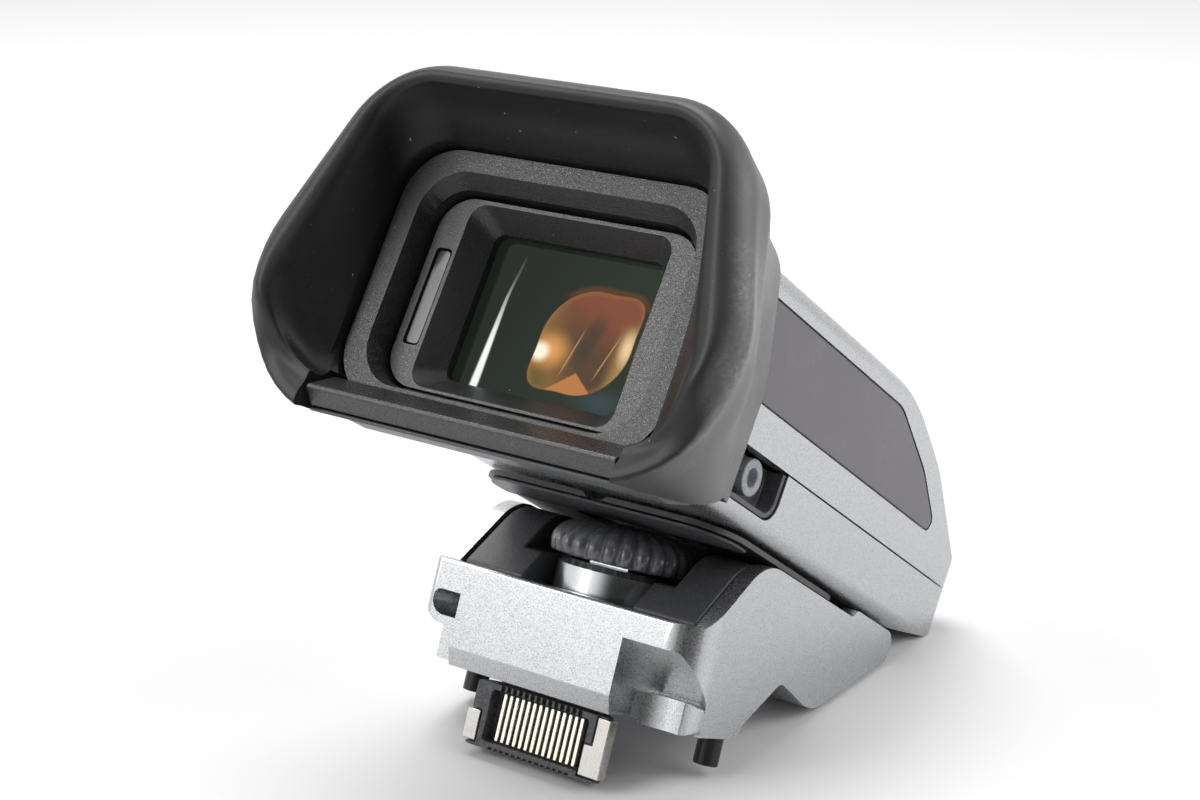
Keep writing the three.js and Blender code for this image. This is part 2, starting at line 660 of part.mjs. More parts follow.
// Upper and lower shells with the seam between them
const leafTop = bodyBottom + SHELL_WALL + FIT_GAP + LEAF_THICKNESS;
const leafScrewX = (knuckleLeft + knuckleRight) / 3;
const leafMiddle = (knuckleRight - knuckleLeft) / 2;
const leafScrewY = -LEAF_RUN + FASTENER_HEAD_RADIUS * 1.5;
function makeShells() {
  const hollow = without(bodyForm(0), bodyForm(SHELL_WALL, OVERRUN));
  const depth = SIDE_PANEL_THICKNESS + CLOSE_GAP;
  const upper = without(
    hollow.intersect(aboveLevel(seamLevel + CLOSE_GAP / 2)), sidePanel(1, 0, depth), sidePanel(-1, 0, depth),
  );
  addPart(finder, 'upper_shell', upper, 'metal');

  const neckHole = block(
    -knuckleLeft - FIT_GAP, -NECK_HALF - FIT_GAP, 0,
    flexRight + FIT_GAP, NECK_HALF + FIT_GAP, leafTop,
  );
  const screwHoles = [-1, 1].map((sign) => barZ(
    FASTENER_RADIUS + CLOSE_GAP, 0, leafTop, leafMiddle + sign * leafScrewX, leafScrewY, 10,
  ));
  const recess = recessForm(0, bodyHalf - RECESS_DEPTH, bodyHalf + OVERRUN);
  const lower = without(hollow, aboveLevel(seamLevel - CLOSE_GAP / 2), neckHole, recess, ...screwHoles);
  addPart(finder, 'lower_shell', lower, 'metal');

  addPart(finder, 'side_panel_right', sidePanel(1, CLOSE_GAP, SIDE_PANEL_THICKNESS), 'panel');
  addPart(finder, 'side_panel_left', sidePanel(-1, CLOSE_GAP, SIDE_PANEL_THICKNESS), 'panel');
}

// Black plate and information plate under the lower shell
function makeUnderside() {
  const half = bottomPlateHalf;
  const plate = acrossZ(
    rectangle(-half, -bottomPlateRear, half, -BOTTOM_PLATE_FRONT, PLATE_CORNER), plateBottom, plateTop,
  );
  const wheelRoom = barZ(WHEEL_RADIUS + FIT_GAP, 0, WHEEL_TOP * 2, 0, WHEEL_RUN, 48)
    .translate([0, -HINGE_RUN, -HINGE_RISE]).rotate([CLOSED_TILT, 0, 0]);
  addPart(finder, 'bottom_plate', without(plate, wheelRoom), 'black');
  const infoTop = plateBottom - CLOSE_GAP;
  const infoRear = -bottomPlateRear + FIT_GAP;
  const infoCorner = PLATE_CORNER - INFO_PLATE_SIDE;
  const info = acrossZ(outline([
    [-infoPlateHalf, infoRear, infoCorner], [infoPlateHalf, infoRear, infoCorner],
    [infoPlateHalf, -infoPlateFront, INFO_PLATE_CORNER], [-infoPlateHalf, -infoPlateFront, INFO_PLATE_CORNER],
  ]), infoTop - INFO_PLATE_THICKNESS, infoTop);
  const infoRoom = barZ(WHEEL_RADIUS + FIT_GAP, 0, WHEEL_TOP + FIT_GAP, 0, WHEEL_RUN, 48)
    .translate([0, -HINGE_RUN, -HINGE_RISE]).rotate([CLOSED_TILT, 0, 0]);
  addPart(finder, 'info_plate', without(info, infoRoom), 'black');
}

// A round-cornered rectangle about the optical axis
function opticalBox(half, above, below, radius) {
  return rectangle(-half, opticalLevel - below, half, opticalLevel + above, radius);
}

function opticalRing(y, half, above, below, radius) {
  return ring(y, half, half, opticalLevel + above, opticalLevel - below, radius, radius);
}

// Black bezel that closes the rear of the shells and carries the eyecup
function makeBezel() {
  const flange = acrossY(opticalBox(bezelHalf, bezelAbove, bezelBelow, BEZEL_RADIUS), bezelFace, bezelRear);
  const spigot = bodyForm(SHELL_WALL + CLOSE_GAP, BEZEL_THICKNESS)
    .intersect(block(-bodyHalf, bezelRear - CLOSE_GAP, bodyBottom, bodyHalf, spigotEnd, bodyTop));
  const mouth = skinRings([
    opticalRing(bezelFace + MOUTH_DEPTH, pocketHalf, pocketAbove, pocketBelow, POCKET_RADIUS),
    opticalRing(bezelFace, mouthHalf, mouthAbove, mouthBelow, MOUTH_RADIUS),
  ], false);
  const pocket = acrossY(
    opticalBox(pocketHalf, pocketAbove, pocketBelow, POCKET_RADIUS), bezelFace + CLOSE_GAP, pocketFloor,
  );
  const margin = CLOSE_GAP;
  const light = acrossY(
    opticalBox(windowHalf + margin, windowHalfHeight + margin, windowHalfHeight + margin, WINDOW_RADIUS),
    bezelFace, spigotEnd + OVERRUN,
  );
  const well = acrossY(
    opticalBox(tubeHalf + FIT_GAP, tubeHalfHeight + FIT_GAP, tubeHalfHeight + FIT_GAP, WINDOW_RADIUS + tubeMargin),
    pocketFloor - CLOSE_GAP, tubeRear + FIT_GAP,
  );
  const rodHoles = [-1, 1].map((sign) => barY(
    ROD_RADIUS + CLOSE_GAP, spigotEnd - ROD_SEAT - CLOSE_GAP, spigotEnd + OVERRUN, sign * rodHalfSpacing, rodLevel,
  ));
  addPart(finder, 'eyepiece_bezel', without(union(flange, spigot), mouth, pocket, well, light, ...rodHoles), 'black');
}

// Inner frame with its sloping sides, the window behind it and the eye sensor in its left wing
function makeInnerFrame() {
  const margin = FIT_GAP + CLOSE_GAP / 2;
  const plate = acrossY(
    opticalBox(pocketHalf - margin, pocketAbove - margin, pocketBelow - margin, POCKET_RADIUS - margin),
    frameFace, frameRear,
  );
  const tube = acrossY(
    opticalBox(tubeHalf, tubeHalfHeight, tubeHalfHeight, WINDOW_RADIUS + tubeMargin), frameFace + CLOSE_GAP, tubeRear,
  );
  const high = windowHalfHeight;
  const slope = skinRings([
    opticalRing(frameFace + SLOPE_DEPTH, windowHalf, high, high, WINDOW_RADIUS),
    opticalRing(frameFace, ridgeHalf, ridgeHalfHeight, ridgeHalfHeight, RIDGE_RADIUS),
  ], false);
  const sight = acrossY(opticalBox(windowHalf, high, high, WINDOW_RADIUS), frameFace + CLOSE_GAP, tubeRear + OVERRUN);
  const wide = WINDOW_MARGIN + CLOSE_GAP;
  const seat = acrossY(
    opticalBox(windowHalf + wide, high + wide, high + wide, WINDOW_RADIUS),
    windowSeat, tubeRear + OVERRUN,
  );
  const half = SENSOR_WIDTH / 2;
  const tall = SENSOR_HEIGHT / 2;
  const sensorShape = (gap) => rectangle(
    -sensorCentre - half - gap, opticalLevel - SENSOR_DROP - tall - gap,
    -sensorCentre + half + gap, opticalLevel - SENSOR_DROP + tall + gap, half / 2,
  );
  const slot = acrossY(sensorShape(CLOSE_GAP), frameFace - OVERRUN, frameRear + OVERRUN, 1);
  addPart(finder, 'inner_frame', without(union(plate, tube), slope, sight, seat, slot), 'black');

  const rim = WINDOW_MARGIN;
  const pane = acrossY(
    opticalBox(windowHalf + rim, high + rim, high + rim, WINDOW_RADIUS), windowFace, windowFace + WINDOW_THICKNESS,
  );
  addPart(finder, 'eyepiece_window', pane, 'glass');

  const sensorY = frameFace + SENSOR_SETBACK;
  addPart(finder, 'sensor_window', acrossY(sensorShape(0), sensorY, sensorY + SENSOR_THICKNESS, 1), 'glass');
  const boardY = sensorY + SENSOR_THICKNESS + FIT_GAP;
  addPart(finder, 'sensor_board', acrossY(sensorShape(0), boardY, boardY + SENSOR_BOARD_THICKNESS, 1), 'board');
}

// Rubber eyecup. Each row is one ring: how far behind the crest as a share of the depth, then its
// edges and corner radii as shares of the bezel's half width and height beyond the bezel's edges.
// The first ones are the outer skin, whose rear leans forwards above the middle.
const CUP_OUTER_RINGS = 4;
const cupShares = [
  [1, -0.055, -0.05, 0.033, -0.033, 0.23, 0.165],
  [0.74, 0.02, 0.092, 0.061, -0.056, 0.33, 0.263],
  [0.49, 0.092, 0.316, 0.108, -0.089, 0.43, 0.46],
  [0.31, 0.132, 0.579, 0.169, -0.116, 0.513, 0.625],
  [0.18, 0.125, 0.7, 0.211, -0.131, 0.57, 0.69],
  [0.094, 0.099, 0.803, 0.239, -0.136, 0.592, 0.724],
  [0.035, 0.072, 0.73, 0.22, -0.1, 0.54, 0.69],
  [0, 0.026, 0.579, 0.187, -0.04, 0.447, 0.56],
  [0.01, -0.013, 0.48, 0.154, 0, 0.38, 0.47],
  [0.04, -0.039, 0.395, 0.14, 0.015, 0.329, 0.4],
  [0.12, -0.03, 0.25, 0.103, 0.01, 0.31, 0.32],
  [0.2, 0, 0.1, 0.051, -0.005, 0.3, 0.25],
  [0.262, 0.007, 0.02, 0.014, -0.02, 0.3, 0.22],
];
// How much of the crest's set-back over the bar each ring takes
const cupRecedeShares = [0, 0, 0, 0, 0.06, 0.28, 0.64, 1, 0.97, 0.86, 0.55, 0.24, 0];
function makeEyecup() {
  const span = bezelAbove + bezelBelow;
  const leanFoot = opticalLevel + bezelAbove / 12;
  const rings = cupShares.map(([back, topOut, bottomOut, up, down, topRound, bottomRound]) => ring(
    cupFront + CUP_DEPTH * back,
    bezelHalf + bezelHalf * topOut, bezelHalf + bezelHalf * bottomOut,
    bezelTop + span * up, bezelBottom + span * down,
    bezelHalf * topRound, bezelHalf * bottomRound,
  ));
  const rearRing = ring(
    cupRear, bodyHalf + FIT_GAP, bodyHalf + FIT_GAP, bodyTop + FIT_GAP, bodyBottom - FIT_GAP,
    TOP_EDGE_RADIUS, BOTTOM_EDGE_RADIUS,
  );
  const leanOuter = (points, back) => points.forEach((point) => {
    const rise = Math.max(0, point.z - leanFoot) / CUP_LEAN_RISE;
    point.y -= CUP_LEAN * rise * back * back;
  });
  rings.slice(0, CUP_OUTER_RINGS).forEach((points, i) => leanOuter(points, cupShares[i][0]));
  leanOuter(rearRing, 1);
  const recedeSpan = CUP_RECEDE_HIGH - CUP_RECEDE_LOW;
  rings.forEach((points, i) => points.forEach((point) => {
    const share = THREE.MathUtils.smoothstep(CUP_RECEDE_HIGH - point.z, 0, recedeSpan);
    point.y += CUP_RECEDE * cupRecedeShares[i] * share;
  }));
  const margin = FIT_GAP;
  const flangeRoom = acrossY(
    opticalBox(bezelHalf + margin, bezelAbove + margin, bezelBelow + margin, BEZEL_RADIUS),
    bezelFace - margin, bezelRear + margin,
  );
  const bodyRoom = acrossY(
    rectangle(-bodyHalf - margin, bodyBottom - margin, bodyHalf + margin, bodyTop + margin, TOP_EDGE_RADIUS),
    bezelRear, cupRear + OVERRUN,
  );
  const barRoom = block(
    -barHalf - margin, cupFront - OVERRUN, -BODY_HEIGHT,
    barHalf + margin, cupRear + OVERRUN, bezelBottom + CUP_NOTCH,
  );
  const body = skinRings([...rings, rearRing], true);
  addPart(finder, 'eyecup', without(body, flangeRoom, bodyRoom, barRoom), 'rubber');
}

// Hard bar under the bezel, with a thinner trim below it; the lower line is theirs in common
const lowerLineShares = [[0.134, 0.04], [0.25, 0.36], [0.74, 0.42], [1, 0.62]];
function makeBar() {
  const front = bezelFace - BAR_REACH;
  const low = bezelBottom - BAR_DROP;
  const line = lowerLineShares.map(([along, up]) => [front + BAR_LENGTH * along, low + BAR_HEIGHT * up, 0]);
  const flangeGap = bezelBottom - FIT_GAP;
  const barSection = [
    ...line,
    [front + BAR_LENGTH, bodyBottom - FIT_GAP, 0],
    [bezelRear + FIT_GAP, bodyBottom - FIT_GAP, 0],
    [bezelRear + FIT_GAP, flangeGap, 0],
    [bezelFace - FIT_GAP, flangeGap, 0],
    [bezelFace - FIT_GAP, low + BAR_HEIGHT, EDGE_RADIUS / 3],
    [front, low + BAR_HEIGHT * 0.44, EDGE_RADIUS],
  ];
  addPart(finder, 'eyecup_bar', acrossX(outline(barSection), -barHalf, barHalf, 2), 'black');

  const top = line.map(([y, z]) => [y, z - CLOSE_GAP * 1.2, 0]);
  const trimSection = [
    [top[0][0] + TRIM_THICKNESS / 3, top[0][1] - TRIM_THICKNESS / 2, 0],
    [top[1][0], top[1][1] - TRIM_THICKNESS, 0],
    [top[2][0], top[2][1] - TRIM_THICKNESS, 0],
    [top[3][0], top[3][1] - TRIM_THICKNESS / 2, 0],
    top[3], top[2], top[1], top[0],
  ];
  addPart(finder, 'bar_trim', acrossX(outline(trimSection), -barHalf, barHalf), 'black');
}

// Lens barrel that slides on two rods, its two lenses, and the fork that the crank pin moves
function makeOptics() {
  const inner = carriageHalf - CARRIAGE_WALL;
  const innerHeight = carriageHalfHeight - CARRIAGE_WALL;
  const barrel = without(
    acrossY(opticalBox(carriageHalf, carriageHalfHeight, carriageHalfHeight, CARRIAGE_RADIUS), carriageRear, carriageFront, 2),
    acrossY(opticalBox(inner, innerHeight, innerHeight, 0), carriageRear - OVERRUN, carriageFront + OVERRUN, 1),
  );
  const lugs = [];
  const bores = [];
  [-1, 1].forEach((sign) => {
    const x = sign * rodHalfSpacing;
    [carriageRear, carriageFront - LUG_LENGTH].forEach((y) => {
      lugs.push(barY(LUG_RADIUS, y, y + LUG_LENGTH, x, rodLevel));
      bores.push(barY(ROD_RADIUS + CLOSE_GAP, y - OVERRUN, y + LUG_LENGTH + OVERRUN, x, rodLevel));
    });
  });
  const pinZ = knobZ - CRANK_OFFSET;
  const opening = CRANK_PIN_RADIUS + FIT_GAP;
  const forkTop = pinZ + CRANK_OFFSET;
  const tines = [-1, 1].map((sign) => {
    const near = knobY + sign * opening;
    const far = knobY + sign * (opening + FORK_THICKNESS);
    return block(
      inner + CARRIAGE_WALL / 2, Math.min(near, far), opticalLevel - carriageHalfHeight + CARRIAGE_RADIUS / 3,
      carriageHalf + FORK_REACH, Math.max(near, far), forkTop,
    );
  });
  addPart(finder, 'lens_carriage', without(union(barrel, ...lugs, ...tines), ...bores), 'black');

  const lensHalf = inner - CLOSE_GAP;
  const lensHeight = innerHeight - CLOSE_GAP;
  const offset = LENS_CURVE - LENS_THICKNESS / 2;
  const ball = solid(new THREE.SphereGeometry(LENS_CURVE, 28, 24));
  const blank = (y) => ball.translate([0, y - offset, opticalLevel])
    .intersect(ball.translate([0, y + offset, opticalLevel]))
    .intersect(block(-lensHalf, y - LENS_THICKNESS, opticalLevel - lensHeight, lensHalf, y + LENS_THICKNESS, opticalLevel + lensHeight));
  addPart(finder, 'eye_lens', blank(carriageRear + LENS_INSET + LENS_THICKNESS / 2), 'lens');
  addPart(finder, 'field_lens', blank(carriageFront - LENS_INSET - LENS_THICKNESS / 2), 'lens');

  [['left', -1], ['right', 1]].forEach(([side, sign]) => {
    const rod = barY(ROD_RADIUS, spigotEnd - ROD_SEAT, holderRear + ROD_SEAT, sign * rodHalfSpacing, rodLevel);
    addPart(finder, `guide_rod_${side}`, rod, 'steel');
  });
}

// Display in its holder, and the main board in front of it
function makeDisplay() {
  const half = bodyHalf - SHELL_WALL - FIT_GAP;
  const holder = acrossY(opticalBox(half, holderHalfHeight, holderHalfHeight, CARRIAGE_RADIUS), holderRear, holderFront, 1);
  const seatY = holderFront - DISPLAY_THICKNESS - CLOSE_GAP;
  const seat = acrossY(
    opticalBox(displayHalf + CLOSE_GAP, displayHalfHeight + CLOSE_GAP, displayHalfHeight + CLOSE_GAP, 0),
    seatY, holderFront + OVERRUN,
  );
  const maskHalf = displayHalf - DISPLAY_MASK;
  const maskHeight = displayHalfHeight - DISPLAY_MASK;
  const throat = skinRings([
    opticalRing(seatY + CLOSE_GAP, maskHalf, maskHeight, maskHeight, CLOSE_GAP),
    opticalRing(holderRear - CLOSE_GAP, displayHalf + DISPLAY_MASK, displayHalfHeight + DISPLAY_MASK, displayHalfHeight + DISPLAY_MASK, CLOSE_GAP),
  ], false);
  const rodHoles = [-1, 1].map((sign) => barY(
    ROD_RADIUS + CLOSE_GAP, holderRear - OVERRUN, holderRear + ROD_SEAT + CLOSE_GAP, sign * rodHalfSpacing, rodLevel,
  ));
  addPart(finder, 'display_holder', without(holder, seat, throat, ...rodHoles), 'black');

  const display = acrossY(opticalBox(displayHalf, displayHalfHeight, displayHalfHeight, 0), seatY + CLOSE_GAP, holderFront);
  addPart(finder, 'display_panel', display, 'glass');

  const boardRear = holderFront + FIT_GAP;
  const boardFront = boardRear + BOARD_THICKNESS;
  const sheet = acrossY(opticalBox(boardHalf, boardHalfHeight, boardHalfHeight, 0), boardRear, boardFront);
  const chip = block(
    -CHIP_HALF, boardFront - CLOSE_GAP, opticalLevel - CHIP_HALF, CHIP_HALF, boardFront + CHIP_THICKNESS, opticalLevel + CHIP_HALF,
  );
  addPart(finder, 'main_board', union(sheet, chip), 'board');
}

// Dioptre knob in its black cup, with a crank pin at its inner end
function makeDioptre() {
  const floor = bodyHalf - RECESS_DEPTH + CLOSE_GAP;
  const face = bodyHalf - KNOB_SETBACK;
  const cup = without(
    recessForm(CLOSE_GAP, floor, bodyHalf - CLOSE_GAP),
    recessForm(CLOSE_GAP + RECESS_WALL, floor + RECESS_WALL, bodyHalf + OVERRUN, bodyTop),
    barX(SPINDLE_RADIUS + CLOSE_GAP, floor - OVERRUN, face, knobY, knobZ, 14),
  );
  addPart(finder, 'dioptre_cup', cup, 'black');

  const crankFace = floor - FIT_GAP;
  const crankBack = crankFace - CRANK_THICKNESS;
  const knob = union(
    barX(KNOB_RADIUS, floor + RECESS_WALL + CLOSE_GAP, face, knobY, knobZ, 28),
    barX(SPINDLE_RADIUS, crankFace - CRANK_THICKNESS / 2, face - KNOB_HOLE_DEPTH, knobY, knobZ, 14),
    barX(CRANK_RADIUS, crankBack, crankFace, knobY, knobZ, 20),
    barX(CRANK_PIN_RADIUS, carriageHalf + CLOSE_GAP, crankFace - CRANK_THICKNESS / 2, knobY, knobZ - CRANK_OFFSET, 12),
  );
  const hole = barX(KNOB_HOLE_RADIUS, face - KNOB_HOLE_DEPTH, face + OVERRUN, knobY, knobZ, 20);
  addPart(finder, 'dioptre_spindle', without(knob, hole), 'steel');
}

makeShells();
makeUnderside();
makeBezel();
makeInnerFrame();
makeEyecup();
makeBar();
makeOptics();
makeDisplay();
makeDioptre();

// From the closed finder's directions, or from the table's, into the base's own
function closedPoint(along, up) {
  return [
    HINGE_RUN + along * Math.cos(tilt) + up * Math.sin(tilt),
    HINGE_RISE - along * Math.sin(tilt) + up * Math.cos(tilt),
  ];
}

function fromClosed(body) {
  return body.rotate([-CLOSED_TILT, 0, 0]).translate([0, HINGE_RUN, HINGE_RISE]);
}

function fromTable(body) {
  return body.rotate([THREE.MathUtils.radToDeg(pitch), 0, 0]).translate([0, HINGE_RUN, HINGE_RISE]);
}

// Where the line through p along d meets the line through q along e
function meet(p, d, q, e) {
  const cross = d[0] * e[1] - d[1] * e[0];
  const reach = ((q[0] - p[0]) * e[1] - (q[1] - p[1]) * e[0]) / cross;
  return [p[0] + d[0] * reach, p[1] + d[1] * reach];
}

// Side outline of the base casting
const boss = HINGE_DROP - FIT_GAP;
const cheekLevel = plateBottom - FIT_GAP;
const alongFinder = [Math.cos(tilt), -Math.sin(tilt)];
const upFinder = [Math.sin(tilt), Math.cos(tilt)];
const alongTable = [Math.cos(pitch), Math.sin(pitch)];
const footPoint = [HINGE_RUN + FOOT_DROP * Math.sin(pitch), HINGE_RISE - FOOT_DROP * Math.cos(pitch)];
const humpTurn = THREE.MathUtils.degToRad(HUMP_SLOPE);
const archTurn = THREE.MathUtils.degToRad(ARCH_SLOPE);
const castingSide = [
  [0, PLATE_BOTTOM, EDGE_RADIUS],
  [PLATE_BEVEL, SEAT_HEIGHT, 0],
  [LEG_DEPTH, SEAT_HEIGHT, EDGE_RADIUS],
  [LEG_DEPTH + LEG_HEEL, SEAT_HEIGHT + LEG_HEEL_HEIGHT, 0],
  [ARCH_RUN, ARCH_HEIGHT, ARCH_RADIUS],
  [...meet([ARCH_RUN, ARCH_HEIGHT], [Math.cos(archTurn), -Math.sin(archTurn)], footPoint, alongTable), HEEL_RADIUS],
  [...meet(closedPoint(boss, 0), upFinder, footPoint, alongTable), NOSE_RADIUS],
  [...closedPoint(boss, boss), boss],
  [...closedPoint(-STEP_FROM_HINGE, boss), EDGE_RADIUS],
  [...closedPoint(-STEP_FROM_HINGE - STEP_RUN, cheekLevel), EDGE_RADIUS],
  [...meet([HUMP_FROM, PLATE_TOP], [Math.cos(humpTurn), Math.sin(humpTurn)], closedPoint(0, cheekLevel), alongFinder), HUMP_RADIUS],
  [HUMP_FROM, PLATE_TOP, 0],
  [0, PLATE_TOP, EDGE_RADIUS],
];

// Base casting: front plate, two cheeks, seat for the camera and the hinge block
const hingeReach = BARREL_RADIUS + FIT_GAP;
const footFloor = -FOOT_DROP + CASTING_WALL;
function bracketScrewPlace(sign) {
  return [sign * (bracketInner + bracketOuter) / 2, -BRACKET_RUN + FASTENER_HEAD_RADIUS * 2];
}

function makeCasting() {
  const high = HINGE_RISE * 2;
  const far = HINGE_RUN * 2;
  const plan = outline([
    [-bodyHalf, 0, PLATE_LEFT_RADIUS], [bodyHalf, 0, PLATE_RIGHT_RADIUS],
    [bodyHalf, far, 0], [-bodyHalf, far, 0],
  ]);
  const form = acrossX(outline(castingSide), -bodyHalf, bodyHalf, 4).intersect(acrossZ(plan, 0, high, 5));
  const w = castingInner;
  const lower = acrossX(outline(insetOutline(castingSide, CASTING_WALL)), -w, w, 4)
    .intersect(block(-w, FRONT_BLOCK_DEPTH, 0, w, far, high));
  const upper = block(-w, PLATE_WALL, UPPER_ROOM_BOTTOM, w, UPPER_ROOM_DEPTH, high);
  const top = fromClosed(block(-w, -HINGE_RUN + CASTING_WALL * 5, -CASTING_WALL, w, BODY_FRONT, high));
  const hinge = fromTable(block(-w, -hingeReach, -high, w, high, high / 3));
  const bay = block(
    -BAY_HALF, PLATE_WALL + FIT_GAP, SEAT_HEIGHT + CASTING_WALL, BAY_HALF, FRONT_BLOCK_DEPTH + CLOSE_GAP, UPPER_ROOM_BOTTOM + CLOSE_GAP,
  );
  const out = bodyHalf + OVERRUN;
  const scoopSide = outline([
    [-OVERRUN, 0, 0], [SCOOP_DEPTH, 0, 0], [SCOOP_DEPTH, TOE_TOP, SCOOP_RIGHT_RADIUS],
    [SCOOP_LIP, SCOOP_RIGHT_TOP, 0], [-OVERRUN, SCOOP_RIGHT_TOP, 0],
  ]);
  const scoopRight = acrossX(scoopSide, SCOOP_RIGHT_FROM, out, 5);
  const hookEnd = -SCOOP_LEFT_FROM + CASTING_WALL;
  const leftRoom = block(-out, -OVERRUN, 0, -SCOOP_LEFT_FROM, SCOOP_DEPTH, SCOOP_LEFT_TOP);
  const hook = acrossY(outline([
    [-bodyHalf, HOOK_BOTTOM, HOOK_RADIUS], [hookEnd, HOOK_BOTTOM, 0],
    [hookEnd, PLATE_TOP, 0], [-bodyHalf, PLATE_TOP, 0],
  ]), 0, SCOOP_DEPTH + OVERRUN, 5);
  const eye = acrossY(outline([
    [-bodyHalf + HOOK_WALL, HOOK_BOTTOM + HOOK_WALL, HOOK_RADIUS - HOOK_WALL], [hookEnd, HOOK_BOTTOM + HOOK_WALL, 0],
    [hookEnd, SCOOP_LEFT_TOP, 0], [-bodyHalf + HOOK_WALL, SCOOP_LEFT_TOP, SCOOP_LEFT_RADIUS],
  ]), -OVERRUN, SCOOP_DEPTH, 5);
  const scoopLeft = without(leftRoom, without(hook, eye));
  const toe = acrossY(rectangle(
    bodyHalf - TOE_WIDTH, SEAT_HEIGHT, bodyHalf, TOE_TOP, TOE_RADIUS,
  ), TOE_SETBACK, SCOOP_DEPTH + CLOSE_GAP, 2).intersect(acrossZ(plan, 0, high));
  const toeHollow = barZ(
    TOE_HOLLOW_RADIUS, 0, high, bodyHalf - TOE_HOLLOW_SIDE, TOE_HOLLOW_RUN - TOE_HOLLOW_RADIUS, 64,
  );
  const tongueSlot = block(
    -TONGUE_HALF - FIT_GAP, plugRear - TONGUE_THICKNESS - FIT_GAP * 2, 0, TONGUE_HALF + FIT_GAP, plugRear + FIT_GAP / 2, TONGUE_TOP,
  );
  const pinHoles = [-1, 1].map((sign) => barZ(
    PIN_RADIUS + CLOSE_GAP, 0, SEAT_HEIGHT + PIN_SEAT_DEPTH + CLOSE_GAP, sign * pinHalfSpacing, PIN_RUN, 16,
  ));
  const screwHole = barZ(SCREW_RADIUS + FIT_GAP, 0, STEM_BOTTOM, 0, WHEEL_RUN);
  const stemHole = barZ(STEM_RADIUS + FIT_GAP, STEM_BOTTOM - FIT_GAP, high, 0, WHEEL_RUN);
  const clipBottom = LINER_FLOOR - FIT_GAP * 2 - CLIP_THICKNESS;
  const clipRoom = barZ(CLIP_RADIUS + FIT_GAP, clipBottom, LINER_FLOOR, 0, WHEEL_RUN, 40);
  const shaftHoles = barX(SHAFT_RADIUS + CLOSE_GAP, -castingInner - SHAFT_SEAT, castingInner + SHAFT_SEAT, HINGE_RUN, HINGE_RISE, 16);
  const bracketHoles = [-1, 1].map((sign) => {
    const [x, y] = bracketScrewPlace(sign);
    return fromTable(barZ(FASTENER_RADIUS + CLOSE_GAP, footFloor - CASTING_WALL * 0.8, footFloor + OVERRUN, x, y, 10));
  });
  const body = union(without(form, scoopRight, scoopLeft), without(toe, toeHollow));
  addPart(base, 'base_casting', without(
    body, lower, upper, top, hinge, bay, tongueSlot, screwHole, stemHole, clipRoom, shaftHoles, ...pinHoles, ...bracketHoles,
  ), 'metal');
}

// Black liner between the cheeks
function makeLiner() {
  const outer = castingInner - FIT_GAP;
  const inner = outer - LINER_WALL;
  const rear = HINGE_RUN - LINER_REAR_FROM_HINGE;
  const high = HINGE_RISE * 2;
  const under = fromClosed(block(-outer, -HINGE_RUN, -high, outer, 0, cheekLevel - LINER_DROP));
  const form = acrossX(outline(insetOutline(castingSide, LINER_DROP)), -outer, outer, 4)
    .intersect(block(-outer, LINER_FRONT, LINER_FLOOR, outer, rear, high))
    .intersect(under);
  const tub = WHEEL_RADIUS + LINER_POCKET_SIDE + LINER_WALL;
  const room = without(
    acrossX(outline(insetOutline(castingSide, LINER_DROP + LINER_WALL)), -inner, inner, 4)
      .intersect(block(-inner, LINER_FRONT + LINER_WALL, 0, inner, rear - LINER_WALL, high))
      .intersect(under.translate([0, 0, -LINER_WALL])),
    block(-tub, 0, 0, tub, WHEEL_RUN + tub, high),
  );
  const pocket = block(
    -tub + LINER_WALL, -OVERRUN, WHEEL_BOTTOM - LINER_POCKET_BELOW, tub - LINER_WALL, WHEEL_RUN + tub - LINER_WALL, high,
  );
  const hole = barZ(COLLAR_RADIUS + FIT_GAP, 0, high, 0, WHEEL_RUN, 40);
  const slotHalf = COLLAR_RADIUS + FIT_GAP;
  const slot = block(-slotHalf, -OVERRUN, 0, slotHalf, WHEEL_RUN, high);
  addPart(base, 'base_liner', without(form, room, pocket, hole, slot), 'black');
}

// Plug under the plate: housing, contacts, its shield pieces and the board above it
function contactX(i) {
  return (i - (CONTACT_COUNT - 1) / 2) * CONTACT_PITCH;
}

